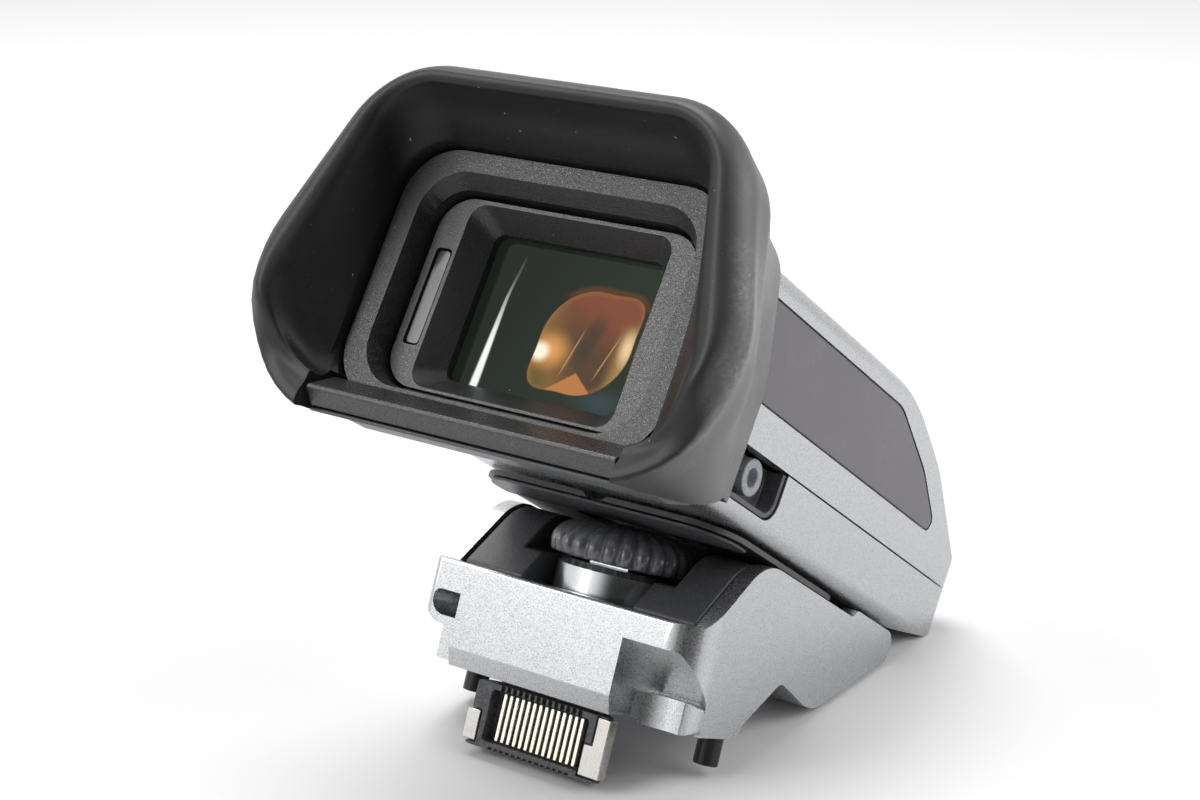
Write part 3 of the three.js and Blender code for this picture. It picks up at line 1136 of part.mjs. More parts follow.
function makePlug() {
  const mouthFloor = PLUG_FACE + PLUG_MOUTH_DEPTH;
  const sideRear = PLUG_FACE + PLUG_SIDE_DEPTH;
  const rearHalf = PLUG_HALF - (plugRear - sideRear);
  const plugPlan = outline([
    [-PLUG_HALF, 0, 0], [PLUG_HALF, 0, 0], [PLUG_HALF, sideRear, 0],
    [rearHalf, plugRear, 0], [-rearHalf, plugRear, 0], [-PLUG_HALF, sideRear, 0],
  ]);
  const housing = union(
    acrossY(rectangle(-PLUG_HALF, 0, PLUG_HALF, plugTop, PLUG_CORNER), PLUG_FACE, plugRear, 1)
      .intersect(acrossZ(plugPlan, -OVERRUN, plugTop + OVERRUN)),
    block(-TONGUE_HALF, plugRear - TONGUE_THICKNESS, plugTop - CLOSE_GAP, TONGUE_HALF, plugRear, TONGUE_TOP),
  );
  const mouth = acrossY(
    rectangle(-PLUG_MOUTH_HALF, PLUG_MOUTH_BOTTOM, PLUG_MOUTH_HALF, PLUG_MOUTH_TOP, PLUG_CORNER),
    PLUG_FACE - OVERRUN, mouthFloor, 1,
  );
  const combs = [];
  for (let i = 0; i < CONTACT_COUNT; i += 1) {
    const x = contactX(i);
    const half = CONTACT_WIDTH / 2;
    combs.push(block(x - half, PLUG_FACE - OVERRUN, plugTop - COMB_HEIGHT, x + half, PLUG_FACE + COMB_DEPTH, plugTop + OVERRUN));
    combs.push(block(x - half, PLUG_FACE - OVERRUN, -OVERRUN, x + half, PLUG_FACE + COMB_DEPTH, COMB_HEIGHT / 2));
  }
  const tabGap = SHIELD_THICKNESS + CLOSE_GAP;
  const leftRoom = block(
    -PLUG_HALF - OVERRUN, PLUG_FACE - OVERRUN, SHIELD_BOTTOM - CLOSE_GAP,
    -PLUG_HALF + SHIELD_TAB_LEFT + CLOSE_GAP, PLUG_FACE + tabGap, SHIELD_TOP + CLOSE_GAP,
  );
  const rightRoom = block(
    PLUG_HALF - SHIELD_TAB_RIGHT + CLOSE_GAP, PLUG_FACE - OVERRUN, SHIELD_BOTTOM - CLOSE_GAP,
    PLUG_HALF + OVERRUN, PLUG_FACE + tabGap, SHIELD_TOP + CLOSE_GAP,
  );
  const neckRoom = block(
    PLUG_HALF - SHIELD_NECK - CLOSE_GAP, PLUG_FACE - OVERRUN, SHIELD_TOP, PLUG_HALF + OVERRUN, PLUG_FACE + tabGap, plugTop + OVERRUN,
  );
  addPart(base, 'plug_housing', without(housing, mouth, ...combs, leftRoom, rightRoom, neckRoom), 'black');

  for (let i = 0; i < CONTACT_COUNT; i += 1) {
    const x = contactX(i);
    const half = CONTACT_WIDTH / 2;
    const rear = mouthFloor - CLOSE_GAP;
    const contact = block(
      x - half, rear - CONTACT_STAND, PLUG_MOUTH_BOTTOM + CLOSE_GAP, x + half, rear, PLUG_MOUTH_TOP - CLOSE_GAP,
    );
    addPart(base, `contact_${String(i + 1).padStart(2, '0')}`, contact, 'gold');
  }

  const wing = PLUG_HALF + CLOSE_GAP;
  const left = union(
    block(-wing - SHIELD_THICKNESS, PLUG_FACE, SHIELD_BOTTOM, -PLUG_HALF + SHIELD_TAB_LEFT, PLUG_FACE + SHIELD_THICKNESS, SHIELD_TOP),
    block(-wing - SHIELD_THICKNESS, PLUG_FACE, SHIELD_BOTTOM, -wing, sideRear, SHIELD_TOP),
  );
  addPart(base, 'shield_left', left, 'steel');
  const right = union(
    block(PLUG_HALF - SHIELD_TAB_RIGHT + FIT_GAP, PLUG_FACE, SHIELD_BOTTOM, wing + SHIELD_THICKNESS, PLUG_FACE + SHIELD_THICKNESS, SHIELD_TOP),
    block(PLUG_HALF - SHIELD_NECK, PLUG_FACE, SHIELD_TOP - CLOSE_GAP, wing + SHIELD_THICKNESS, PLUG_FACE + SHIELD_THICKNESS, plugTop - CLOSE_GAP),
    block(wing, PLUG_FACE, SHIELD_BOTTOM, wing + SHIELD_THICKNESS, sideRear, plugTop - CLOSE_GAP),
  );
  addPart(base, 'shield_right', right, 'steel');

  const boardBottom = TONGUE_TOP + FIT_GAP;
  const boardFront = PLATE_WALL + FIT_GAP * 2;
  const board = block(
    -PLUG_BOARD_HALF, boardFront, boardBottom, PLUG_BOARD_HALF, boardFront + PLUG_BOARD_THICKNESS, boardBottom + PLUG_BOARD_HEIGHT,
  );
  addPart(base, 'plug_board', board, 'board');

  [['left', -1], ['right', 1]].forEach(([side, sign]) => {
    const top = SEAT_HEIGHT + PIN_SEAT_DEPTH;
    const pin = barZ(PIN_RADIUS, SEAT_HEIGHT - PIN_LENGTH, top, sign * pinHalfSpacing, PIN_RUN, 16);
    addPart(base, `locating_pin_${side}`, pin, 'steel');
  });
}

// Ribbed wheel on a steel collar, which turns a keyed screw that moves down out of the seat
function makeWheel() {
  const profile = [[0, WHEEL_BOTTOM], [WHEEL_RADIUS, WHEEL_BOTTOM]];
  const steps = 7;
  const rise = WHEEL_TOP - WHEEL_BOTTOM - WHEEL_RIM;
  for (let i = 0; i < steps; i += 1) {
    const turn = (Math.PI / 2) * (i / steps);
    profile.push([WHEEL_RADIUS * Math.cos(turn) ** 0.8, WHEEL_BOTTOM + WHEEL_RIM + rise * Math.sin(turn)]);
  }
  profile.push([0, WHEEL_TOP]);
  const dome = new THREE.LatheGeometry(profile.map(([r, z]) => new THREE.Vector2(r, z)), WHEEL_RIBS * 2);
  dome.rotateX(Math.PI / 2);
  dome.scale(1, -1, 1);
  dome.translate(0, WHEEL_RUN, 0);
  const flipped = dome.index.array;
  for (let i = 0; i < flipped.length; i += 3) {
    [flipped[i], flipped[i + 1]] = [flipped[i + 1], flipped[i]];
  }
  const star = new THREE.Shape();
  for (let i = 0; i < WHEEL_RIBS * 4; i += 1) {
    const radius = i % 4 < 2 ? WHEEL_RADIUS + OVERRUN : WHEEL_RADIUS - RIB_DEPTH;
    const turn = (Math.PI / 2 / WHEEL_RIBS) * i;
    const x = radius * Math.cos(turn);
    const y = WHEEL_RUN + radius * Math.sin(turn);
    if (i === 0) {
      star.moveTo(x, y);
    } else {
      star.lineTo(x, y);
    }
  }
  star.closePath();
  const drive = DRIVE_HALF + CLOSE_GAP;
  const socket = block(-drive, WHEEL_RUN - drive, 0, drive, WHEEL_RUN + drive, WHEEL_BOTTOM - FIT_GAP + DRIVE_HEIGHT + CLOSE_GAP);
  const wheel = without(solid(dome).intersect(acrossZ(star, WHEEL_BOTTOM, WHEEL_TOP)), socket);
  addPart(base, 'thumb_wheel', wheel, 'black');

  const collarTop = WHEEL_BOTTOM - FIT_GAP;
  const grooveTop = LINER_FLOOR - FIT_GAP;
  const clipLow = grooveTop - CLIP_THICKNESS;
  const turned = new THREE.LatheGeometry([
    [0, STEM_BOTTOM], [STEM_RADIUS, STEM_BOTTOM],
    [STEM_RADIUS, clipLow - CLOSE_GAP], [STEM_RADIUS - CLIP_GROOVE, clipLow - CLOSE_GAP],
    [STEM_RADIUS - CLIP_GROOVE, grooveTop + CLOSE_GAP], [STEM_RADIUS, grooveTop + CLOSE_GAP],
    [STEM_RADIUS, COLLAR_BOTTOM], [COLLAR_RADIUS - COLLAR_CHAMFER, COLLAR_BOTTOM],
    [COLLAR_RADIUS, COLLAR_BOTTOM + COLLAR_CHAMFER], [COLLAR_RADIUS, collarTop - COLLAR_CHAMFER],
    [COLLAR_RADIUS - COLLAR_CHAMFER, collarTop], [0, collarTop],
  ].map(([r, z]) => new THREE.Vector2(r, z)), 32);
  turned.rotateX(Math.PI / 2);
  turned.translate(0, WHEEL_RUN, 0);
  const key = SCREW_KEY_HALF + CLOSE_GAP;
  const screwTop = SCREW_BOTTOM + SCREW_LENGTH;
  const bore = block(-key, WHEEL_RUN - key, 0, key, WHEEL_RUN + key, screwTop + FIT_GAP);
  const driveBlock = block(-DRIVE_HALF, WHEEL_RUN - DRIVE_HALF, collarTop - CLOSE_GAP, DRIVE_HALF, WHEEL_RUN + DRIVE_HALF, collarTop + DRIVE_HEIGHT);
  addPart(base, 'wheel_collar', without(union(solid(turned), driveBlock), bore), 'steel');

  const keyLow = screwTop - SCREW_KEY_HEIGHT;
  const screw = union(
    barZ(SCREW_RADIUS, SCREW_BOTTOM, keyLow + CLOSE_GAP, 0, WHEEL_RUN),
    block(-SCREW_KEY_HALF, WHEEL_RUN - SCREW_KEY_HALF, keyLow, SCREW_KEY_HALF, WHEEL_RUN + SCREW_KEY_HALF, screwTop),
  );
  addPart(base, 'fastening_screw', screw, 'steel');

  const neck = STEM_RADIUS - CLIP_GROOVE + CLOSE_GAP;
  const clip = without(
    barZ(CLIP_RADIUS, clipLow, grooveTop, 0, WHEEL_RUN, 36),
    barZ(neck, 0, LINER_FLOOR, 0, WHEEL_RUN),
    block(-CLIP_SLOT / 2, WHEEL_RUN, 0, CLIP_SLOT / 2, WHEEL_RUN * 3, LINER_FLOOR),
  );
  addPart(base, 'retaining_clip', clip, 'steel');
}

// Tilt hinge: shaft, two brackets on the base, and the finder's knuckle with its leaf
function makeHinge() {
  const shaftEnd = castingInner + SHAFT_SEAT - CLOSE_GAP;
  addPart(base, 'hinge_shaft', barX(SHAFT_RADIUS, -shaftEnd, shaftEnd, HINGE_RUN, HINGE_RISE, 16), 'steel');

  const bore = (x0, x1) => barX(SHAFT_RADIUS + CLOSE_GAP, x0 - OVERRUN, x1 + OVERRUN, 0, 0, 16);
  [['left', -1], ['right', 1]].forEach(([side, sign]) => {
    const x0 = sign > 0 ? bracketInner : -bracketOuter;
    const x1 = sign > 0 ? bracketOuter : -bracketInner;
    const low = footFloor + CLOSE_GAP;
    const [x, y] = bracketScrewPlace(sign);
    const bracket = without(
      union(barX(BARREL_RADIUS, x0, x1, 0, 0), block(x0, -BRACKET_RUN, low, x1, 0, low + BRACKET_THICKNESS)),
      bore(x0, x1),
      barZ(FASTENER_RADIUS + CLOSE_GAP, low - OVERRUN, low + OVERRUN * 2, x, y, 10),
    );
    addPart(base, `hinge_bracket_${side}`, fromTable(bracket), 'steel');
    const screw = fastener(x, y, footFloor - CASTING_WALL / 2, low + BRACKET_THICKNESS + CLOSE_GAP);
    addPart(base, `bracket_screw_${side}`, fromTable(screw), 'steel');
  });

  const leafBottom = bodyBottom + SHELL_WALL + FIT_GAP;
  const knuckle = without(
    union(
      barX(BARREL_RADIUS, -knuckleLeft, knuckleRight, 0, 0),
      block(-knuckleLeft, -NECK_HALF, 0, knuckleRight, NECK_HALF, leafTop),
      block(-knuckleLeft, -LEAF_RUN, leafBottom, knuckleRight, NECK_HALF, leafTop),
    ),
    bore(-knuckleLeft, knuckleRight),
    ...[-1, 1].map((sign) => barZ(FASTENER_RADIUS + CLOSE_GAP, leafBottom - OVERRUN, leafTop + OVERRUN, leafMiddle + sign * leafScrewX, leafScrewY, 10)),
  );
  addPart(finder, 'hinge_knuckle', knuckle, 'steel');
  [['left', -1], ['right', 1]].forEach(([side, sign]) => {
    const screw = fastener(leafMiddle + sign * leafScrewX, leafScrewY, bodyBottom + CLOSE_GAP, leafTop + CLOSE_GAP);
    addPart(finder, `leaf_screw_${side}`, screw, 'steel');
  });
}

// Flexible circuit, in two pieces that part at the hinge
function makeFlex() {
  const inner = SHAFT_RADIUS + CLOSE_GAP;
  const outer = inner + FLEX_THICKNESS;
  const low = footFloor + CLOSE_GAP;
  const rearEnd = -BRACKET_RUN;
  const strip = without(
    union(
      barX(outer, flexLeft, flexRight, 0, 0, 16),
      block(flexLeft, rearEnd, low, flexRight, 0, low + FLEX_THICKNESS),
    ),
    barX(inner, flexLeft - OVERRUN, flexRight + OVERRUN, 0, 0, 16),
  );
  addPart(base, 'base_flex', fromTable(strip), 'flex');

  const start = outer + FIT_GAP;
  const boardBottom = opticalLevel - boardHalfHeight;
  const boardFront = holderFront + FIT_GAP + BOARD_THICKNESS;
  const tailTop = boardBottom - FIT_GAP;
  const ribbon = union(
    block(flexLeft, -FLEX_THICKNESS / 2, start, flexRight, FLEX_THICKNESS / 2, tailTop),
    block(flexLeft, boardFront - BOARD_THICKNESS, tailTop - FLEX_THICKNESS, flexRight, FLEX_THICKNESS / 2, tailTop),
  );
  addPart(finder, 'finder_flex', ribbon, 'flex');
}

makeCasting();
makeLiner();
makePlug();
makeWheel();
makeHinge();
makeFlex();

// The finder lies on the base, the whole rests on the plug's lower edge and the hinge block's foot,
// and the origin is under the middle of the bounding box
base.rotation.x = -pitch;
finder.rotation.x = -pitch - tilt;
const axisY = HINGE_RUN * Math.cos(pitch) + HINGE_RISE * Math.sin(pitch);
const axisZ = -HINGE_RUN * Math.sin(pitch) + HINGE_RISE * Math.cos(pitch);
finder.position.set(0, axisY, axisZ);
const model = new THREE.Group();
model.add(finder, base);
model.updateMatrixWorld(true);
const bounds = new THREE.Box3().setFromObject(model, true);
const middle = bounds.getCenter(new THREE.Vector3());
model.position.set(-middle.x, -middle.y, -bounds.min.z);
export default model;
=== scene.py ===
import json
import math

import bmesh
import bpy
import numpy as np
from mathutils import Matrix, Vector


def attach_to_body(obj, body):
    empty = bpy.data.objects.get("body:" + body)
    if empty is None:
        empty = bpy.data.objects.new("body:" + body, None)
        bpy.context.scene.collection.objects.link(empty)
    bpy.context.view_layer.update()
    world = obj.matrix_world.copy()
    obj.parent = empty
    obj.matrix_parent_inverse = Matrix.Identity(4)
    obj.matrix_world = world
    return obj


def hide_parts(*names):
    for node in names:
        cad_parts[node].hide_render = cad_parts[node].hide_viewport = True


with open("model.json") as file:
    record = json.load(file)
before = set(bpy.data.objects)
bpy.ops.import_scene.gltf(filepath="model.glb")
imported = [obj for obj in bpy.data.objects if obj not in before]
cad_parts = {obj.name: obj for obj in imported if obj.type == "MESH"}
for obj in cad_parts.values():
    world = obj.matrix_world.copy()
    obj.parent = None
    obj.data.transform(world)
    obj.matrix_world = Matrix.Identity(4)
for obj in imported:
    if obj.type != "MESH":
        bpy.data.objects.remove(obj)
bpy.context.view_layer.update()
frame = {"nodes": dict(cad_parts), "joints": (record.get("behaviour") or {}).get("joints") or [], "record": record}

bl_info = {
    "name": "Electronic viewfinder",
    "version": (1, 0, 0),
    "blender": (4, 5, 0),
    "location": "3D View > Sidebar > Viewfinder",
    "description": "Dresses the CAD model of a tilting electronic viewfinder with its surfaces and finishes",
    "category": "Object",
}

MM = 0.001

# The two slanted frames that the object is built in, read from its joints.
# The finder's own axes: x right, y from the eyepiece forwards, z up, from the hinge axis.
# The base's own axes: x right, y forwards, z up from the connector's lower edge.
JOINTS = {joint["name"]: joint for joint in frame["joints"]}
FINDER_ORIGIN = np.array(JOINTS["finder_tilt"]["pos_m"])
FINDER_Y = np.array(JOINTS["lens_slide"]["axis"])
FINDER_Z = np.cross([1, 0, 0], FINDER_Y)
WHEEL_CENTRE = np.array(JOINTS["wheel_turn"]["pos_m"])
BASE_Z = -np.array(JOINTS["wheel_turn"]["axis"])
BASE_Y = np.cross(BASE_Z, [1, 0, 0])
FINDER_AXES = np.array([[1, 0, 0], FINDER_Y, FINDER_Z])
BASE_AXES = np.array([[1, 0, 0], BASE_Y, BASE_Z])

# Which body each piece belongs to
BODY_OF = {name: body for body, names in frame["record"]["behaviour"]["bodies"].items() for name in names}


def in_finder(points):
    """Finder millimetres to metres in the row frame: origin plus each coordinate times its axis."""
    return FINDER_ORIGIN + np.asarray(points, float) @ FINDER_AXES * MM


def in_wheel(points):
    """Base millimetres counted from the wheel's centre to metres in the row frame."""
    return WHEEL_CENTRE + np.asarray(points, float) @ BASE_AXES * MM


# Sizes and colours


class FinderColours(bpy.types.PropertyGroup):
    """The colours that the finishes start from"""

    paint: bpy.props.FloatVectorProperty(
        name="Silver paint", description="Metallic paint on the shells and the casting",
        default=(0.5, 0.505, 0.515), size=3, subtype="COLOR", min=0, max=1)
    panel: bpy.props.FloatVectorProperty(
        name="Side panel", description="Dark grey sheet let into the side",
        default=(0.125, 0.118, 0.127), size=3, subtype="COLOR", min=0, max=1)
    plastic: bpy.props.FloatVectorProperty(
        name="Black plastic", description="Moulded bezel, frame and liner",
        default=(0.0145, 0.0148, 0.016), size=3, subtype="COLOR", min=0, max=1)
    rubber: bpy.props.FloatVectorProperty(
        name="Rubber", description="Eyecup rubber",
        default=(0.0085, 0.0086, 0.0094), size=3, subtype="COLOR", min=0, max=1)
    # The window colour is the dark green ground of the window's glow, drawn as the material's own light.
    window: bpy.props.FloatVectorProperty(
        name="Window", description="Dark green coating of the eyepiece window",
        default=(0.0095, 0.0145, 0.0098), size=3, subtype="COLOR", min=0, max=1)
    # The amber colour is that of the painted reflection pool that glows in the window.
    amber: bpy.props.FloatVectorProperty(
        name="Painted lens reflection", description="Amber of the painted lens reflection in the window",
        default=(0.09, 0.05, 0.028), size=3, subtype="COLOR", min=0, max=1)
    gold: bpy.props.FloatVectorProperty(
        name="Contacts", description="Gold plating on the contacts",
        default=(0.98, 0.95, 0.78), size=3, subtype="COLOR", min=0, max=1)
    nickel: bpy.props.FloatVectorProperty(
        name="Nickel", description="Collar, shields, shaft and screws",
        default=(0.62, 0.60, 0.57), size=3, subtype="COLOR", min=0, max=1)


class FinderEdges(bpy.types.PropertyGroup):
    """How far the edges of the pieces are rounded"""

    paint: bpy.props.FloatProperty(
        name="Painted edges", description="Rounding of the painted pieces' edges",
        default=0.00022, min=0, max=0.001, precision=5, unit="LENGTH")
    plastic: bpy.props.FloatProperty(
        name="Plastic edges", description="Rounding of the moulded pieces' edges",
        default=0.00016, min=0, max=0.001, precision=5, unit="LENGTH")
    fine: bpy.props.FloatProperty(
        name="Fine edges", description="Rounding of small metal pieces' edges",
        default=0.00006, min=0, max=0.001, precision=5, unit="LENGTH")


class FinderWear(bpy.types.PropertyGroup):
    """Dust and scuffs"""

    dust: bpy.props.FloatProperty(
        name="Dust", description="Share of the dust specks that show on the rubber",
        default=0.55, min=0, max=1, subtype="FACTOR")
    scuffs: bpy.props.FloatProperty(
        name="Scuffs", description="Strength of the rubbed places",
        default=0.5, min=0, max=1, subtype="FACTOR")


class FinderStage(bpy.types.PropertyGroup):
    """Floor, light and camera"""

    floor_size: bpy.props.FloatProperty(
        name="Floor", description="Length of the floor's side", default=3, min=0.2, max=10, unit="LENGTH")
    focal: bpy.props.FloatProperty(
        name="Focal length", description="Focal length of the camera in millimetres", default=72, min=10, max=300)
    daylight: bpy.props.FloatProperty(
        name="Surround light", description="Strength of the even light from all round", default=0.23, min=0, max=3)


# Shader helpers


def put(tree, kind, settings=None, **sockets):
    """Adds a shader node. Settings are its own properties, sockets its inputs: a value or another socket."""
    made = tree.nodes.new(kind)
    for name, value in (settings or {}).items():
        setattr(made, name, value)
    for name, value in sockets.items():
        attach(tree, made.inputs[name.replace("_", " ")], value)
    return made


def attach(tree, socket, value):
    """Links a socket to another one, or sets its value."""
    if isinstance(value, bpy.types.NodeSocket):
        tree.links.new(value, socket)
    elif isinstance(value, (tuple, list)) and len(value) == 3 and socket.type == "RGBA":
        socket.default_value = (*value, 1)
    else:
        socket.default_value = value


def maths(tree, operation, *values, clamp=False):
    """A Math node's result."""
    made = put(tree, "ShaderNodeMath", {"operation": operation, "use_clamp": clamp})
    for socket, value in zip(made.inputs, values):
        attach(tree, socket, value)
    return made.outputs[0]


def blend_colours(tree, share, first, second):
    """First colour where share is 0, second where it is 1."""
    made = put(tree, "ShaderNodeMix", {"data_type": "RGBA"})
    attach(tree, made.inputs["Factor"], share)
    attach(tree, made.inputs["A"], first)
    attach(tree, made.inputs["B"], second)
    return made.outputs["Result"]


def between(tree, value, low, high, out_low=0.0, out_high=1.0, smooth=True):
    """Maps a value from low..high to out_low..out_high."""
    made = put(tree, "ShaderNodeMapRange", {"interpolation_type": "SMOOTHSTEP" if smooth else "LINEAR"})
    numbers = {"Value": value, "From Min": low, "From Max": high, "To Min": out_low, "To Max": out_high}
    for name, number in numbers.items():
        attach(tree, made.inputs[name], number)
    return made.outputs["Result"]


def place(tree, kind="Object"):
    """Object coordinates, or in the world the direction looked in."""
    return put(tree, "ShaderNodeTexCoord").outputs[kind]


def noise(tree, where, scale, detail=2.0, roughness=0.5):
    """A noise pattern; scale is in features per metre."""
    made = put(tree, "ShaderNodeTexNoise", Vector=where, Scale=scale, Detail=detail, Roughness=roughness)
    return made.outputs["Fac"]


def along(tree, where, axis, origin):
    """Distance in millimetres from origin along a direction."""
    offset = put(tree, "ShaderNodeVectorMath", {"operation": "SUBTRACT"})
    attach(tree, offset.inputs[0], where)
    offset.inputs[1].default_value = tuple(origin)
    dot = put(tree, "ShaderNodeVectorMath", {"operation": "DOT_PRODUCT"})
    attach(tree, dot.inputs[0], offset.outputs["Vector"])
    dot.inputs[1].default_value = tuple(np.asarray(axis) / MM)
    return dot.outputs["Value"]


def effect(name, inputs, outputs):
    """A new shader node group with named sockets."""
    tree = bpy.data.node_groups.new(name, "ShaderNodeTree")
    for label, kind, value in inputs:
        socket = tree.interface.new_socket(label, in_out="INPUT", socket_type=kind)
        if value is not None:
            socket.default_value = value
    for label, kind in outputs:
        tree.interface.new_socket(label, in_out="OUTPUT", socket_type=kind)
    return tree, tree.nodes.new("NodeGroupInput").outputs, tree.nodes.new("NodeGroupOutput").inputs


def use(tree, group, **sockets):
    """Places an effect in a material with its own values."""
    made = put(tree, "ShaderNodeGroup", {"node_tree": bpy.data.node_groups[group]})
    for name, value in sockets.items():
        attach(tree, made.inputs[name.replace("_", " ")], value)
    return made.outputs


def make_grain():
    """Moulded grain: two sizes of noise, the coarser one sharpened into small raised islands."""
    tree, inside, out = effect(
        "moulded grain", [("Scale", "NodeSocketFloat", 4000)], [("Height", "NodeSocketFloat")])
    where = place(tree)
    islands = between(tree, noise(tree, where, inside["Scale"], 3, 0.6), 0.42, 0.62)
    fine = noise(tree, where, maths(tree, "MULTIPLY", inside["Scale"], 3.1), 2)
    attach(tree, out["Height"], maths(tree, "MULTIPLY_ADD", fine, 0.35, islands))


def make_flakes():
    """Metallic paint: each tiny cell is a little lighter or darker, and tips its normal a little."""
    tree, inside, out = effect(
        "paint flakes", [("Colour", "NodeSocketColor", (0.3, 0.3, 0.3, 1)), ("Spread", "NodeSocketFloat", 0.3)],
        [("Colour", "NodeSocketColor"), ("Height", "NodeSocketFloat"), ("Roughness", "NodeSocketFloat")])
    where = place(tree)
    cells = put(tree, "ShaderNodeTexVoronoi", Vector=where, Scale=14000.0).outputs["Color"]
    level = put(tree, "ShaderNodeSeparateColor", Color=cells).outputs[0]
    cloud = noise(tree, where, 9000, 2)
    light = maths(tree, "MULTIPLY_ADD", maths(tree, "SUBTRACT", level, 0.5), inside["Spread"],
                  maths(tree, "MULTIPLY_ADD", cloud, 0.3, 0.85))
    made = put(tree, "ShaderNodeVectorMath", {"operation": "SCALE"})
    attach(tree, made.inputs[0], inside["Colour"])
    attach(tree, made.inputs["Scale"], light)
    attach(tree, out["Colour"], made.outputs["Vector"])
    attach(tree, out["Height"], cloud)
    attach(tree, out["Roughness"], maths(tree, "MULTIPLY_ADD", level, 0.1, 0.23))


def make_specks():
    """Dust: pale specks in a few of the cells of a loose pattern, and a haze of finer ones."""
    tree, inside, out = effect(
        "dust specks", [("Amount", "NodeSocketFloat", 0.3), ("Scale", "NodeSocketFloat", 700)],
        [("Mask", "NodeSocketFloat")])
    where = place(tree)
    bent = put(tree, "ShaderNodeVectorMath", {"operation": "ADD"})
    attach(tree, bent.inputs[0], where)
    push = put(tree, "ShaderNodeTexNoise", Vector=where, Scale=2500.0).outputs["Color"]
    small = put(tree, "ShaderNodeVectorMath", {"operation": "SCALE"}, Scale=0.0006)
    attach(tree, small.inputs[0], push)
    attach(tree, bent.inputs[1], small.outputs["Vector"])
    cell = put(tree, "ShaderNodeTexVoronoi", Vector=bent.outputs["Vector"], Scale=inside["Scale"])
    chance = put(tree, "ShaderNodeSeparateColor", Color=cell.outputs["Color"]).outputs[0]
    shown = maths(tree, "LESS_THAN", chance, maths(tree, "MULTIPLY", inside["Amount"], 0.5))
    speck = between(tree, cell.outputs["Distance"], 0.035, 0.075, 1.0, 0.0)
    attach(tree, out["Mask"], maths(tree, "MULTIPLY", speck, shown, clamp=True))


def make_rubbed():
    """Rubbed places: broad clouds broken up by a finer pattern."""
    tree, inside, out = effect(
        "rubbed places", [("Scale", "NodeSocketFloat", 90), ("Amount", "NodeSocketFloat", 0.5)],
        [("Mask", "NodeSocketFloat")])
    where = place(tree)
    broad = between(tree, noise(tree, where, inside["Scale"], 3, 0.6), 0.45, 0.75)
    fine = between(tree, noise(tree, where, maths(tree, "MULTIPLY", inside["Scale"], 14), 4, 0.7), 0.3, 0.8)
    both = maths(tree, "MULTIPLY", broad, fine)
    attach(tree, out["Mask"], maths(tree, "MULTIPLY", both, inside["Amount"], clamp=True))


def new_finish(name):
    """An empty material, its node tree and its Principled shader."""
    made = bpy.data.materials.new(name)
    made.use_nodes = True
    tree = made.node_tree
    tree.nodes.clear()
    shader = tree.nodes.new("ShaderNodeBsdfPrincipled")
    output = tree.nodes.new("ShaderNodeOutputMaterial")
    tree.links.new(shader.outputs["BSDF"], output.inputs["Surface"])
    return made, tree, shader


def bumps(tree, shader, height, distance, strength=1.0):
    """Raises a height pattern on the surface; distance in metres."""
    made = put(tree, "ShaderNodeBump", Height=height, Distance=distance, Strength=strength)
    tree.links.new(made.outputs["Normal"], shader.inputs["Normal"])


# Finishes


def silver_paint(colours):
    """Fine metallic paint, satin, with a faint lacquer."""
    made, tree, shader = new_finish("silver paint")
    flakes = use(tree, "paint flakes", Colour=tuple(colours.paint), Spread=0.26)
    attach(tree, shader.inputs["Base Color"], flakes["Colour"])
    attach(tree, shader.inputs["Roughness"], flakes["Roughness"])
    shader.inputs["Metallic"].default_value = 0.95
    shader.inputs["Coat Weight"].default_value = 0.12
    shader.inputs["Coat Roughness"].default_value = 0.3
    bumps(tree, shader, flakes["Height"], 0.000012, 0.5)
    return made


def grey_panel(colours, wear):
    """Smooth dark sheet with light rubbing."""
    made, tree, shader = new_finish("grey panel")
    rubbed = use(tree, "rubbed places", Scale=160.0, Amount=wear.scuffs)["Mask"]
    light = tuple(min(1, value * 1.7) for value in colours.panel)
    attach(tree, shader.inputs["Base Color"], blend_colours(tree, rubbed, tuple(colours.panel), light))
    attach(tree, shader.inputs["Roughness"], between(tree, rubbed, 0, 1, 0.34, 0.5))
    grain = noise(tree, place(tree), 9000, 2)
    bumps(tree, shader, grain, 0.000008, 0.5)
    return made


def grained_plastic(colours, wear, name, scale, depth, rough, tone_and_light_lift=1.0, shine=0.5):
    """Black moulded plastic with a grain of the given size, depth and gloss; the lift scales its base colour
    per piece, partly painted light.
    """
    made, tree, shader = new_finish(name)
    grain = use(tree, "moulded grain", Scale=scale)["Height"]
    dust = use(tree, "dust specks", Amount=wear.dust * 0.5, Scale=900.0)["Mask"]
    base = tuple(value * tone_and_light_lift for value in colours.plastic)
    light = tuple(value * 1.6 + 0.004 for value in base)
    ground = blend_colours(tree, between(tree, grain, 0.2, 1.2), base, light)
    attach(tree, shader.inputs["Base Color"], blend_colours(tree, dust, ground, (0.25, 0.25, 0.25)))
    attach(tree, shader.inputs["Roughness"], between(tree, grain, 0, 1.35, rough + 0.08, rough - 0.04))
    shader.inputs["Specular IOR Level"].default_value = shine
    bumps(tree, shader, grain, depth, 0.8)
    return made


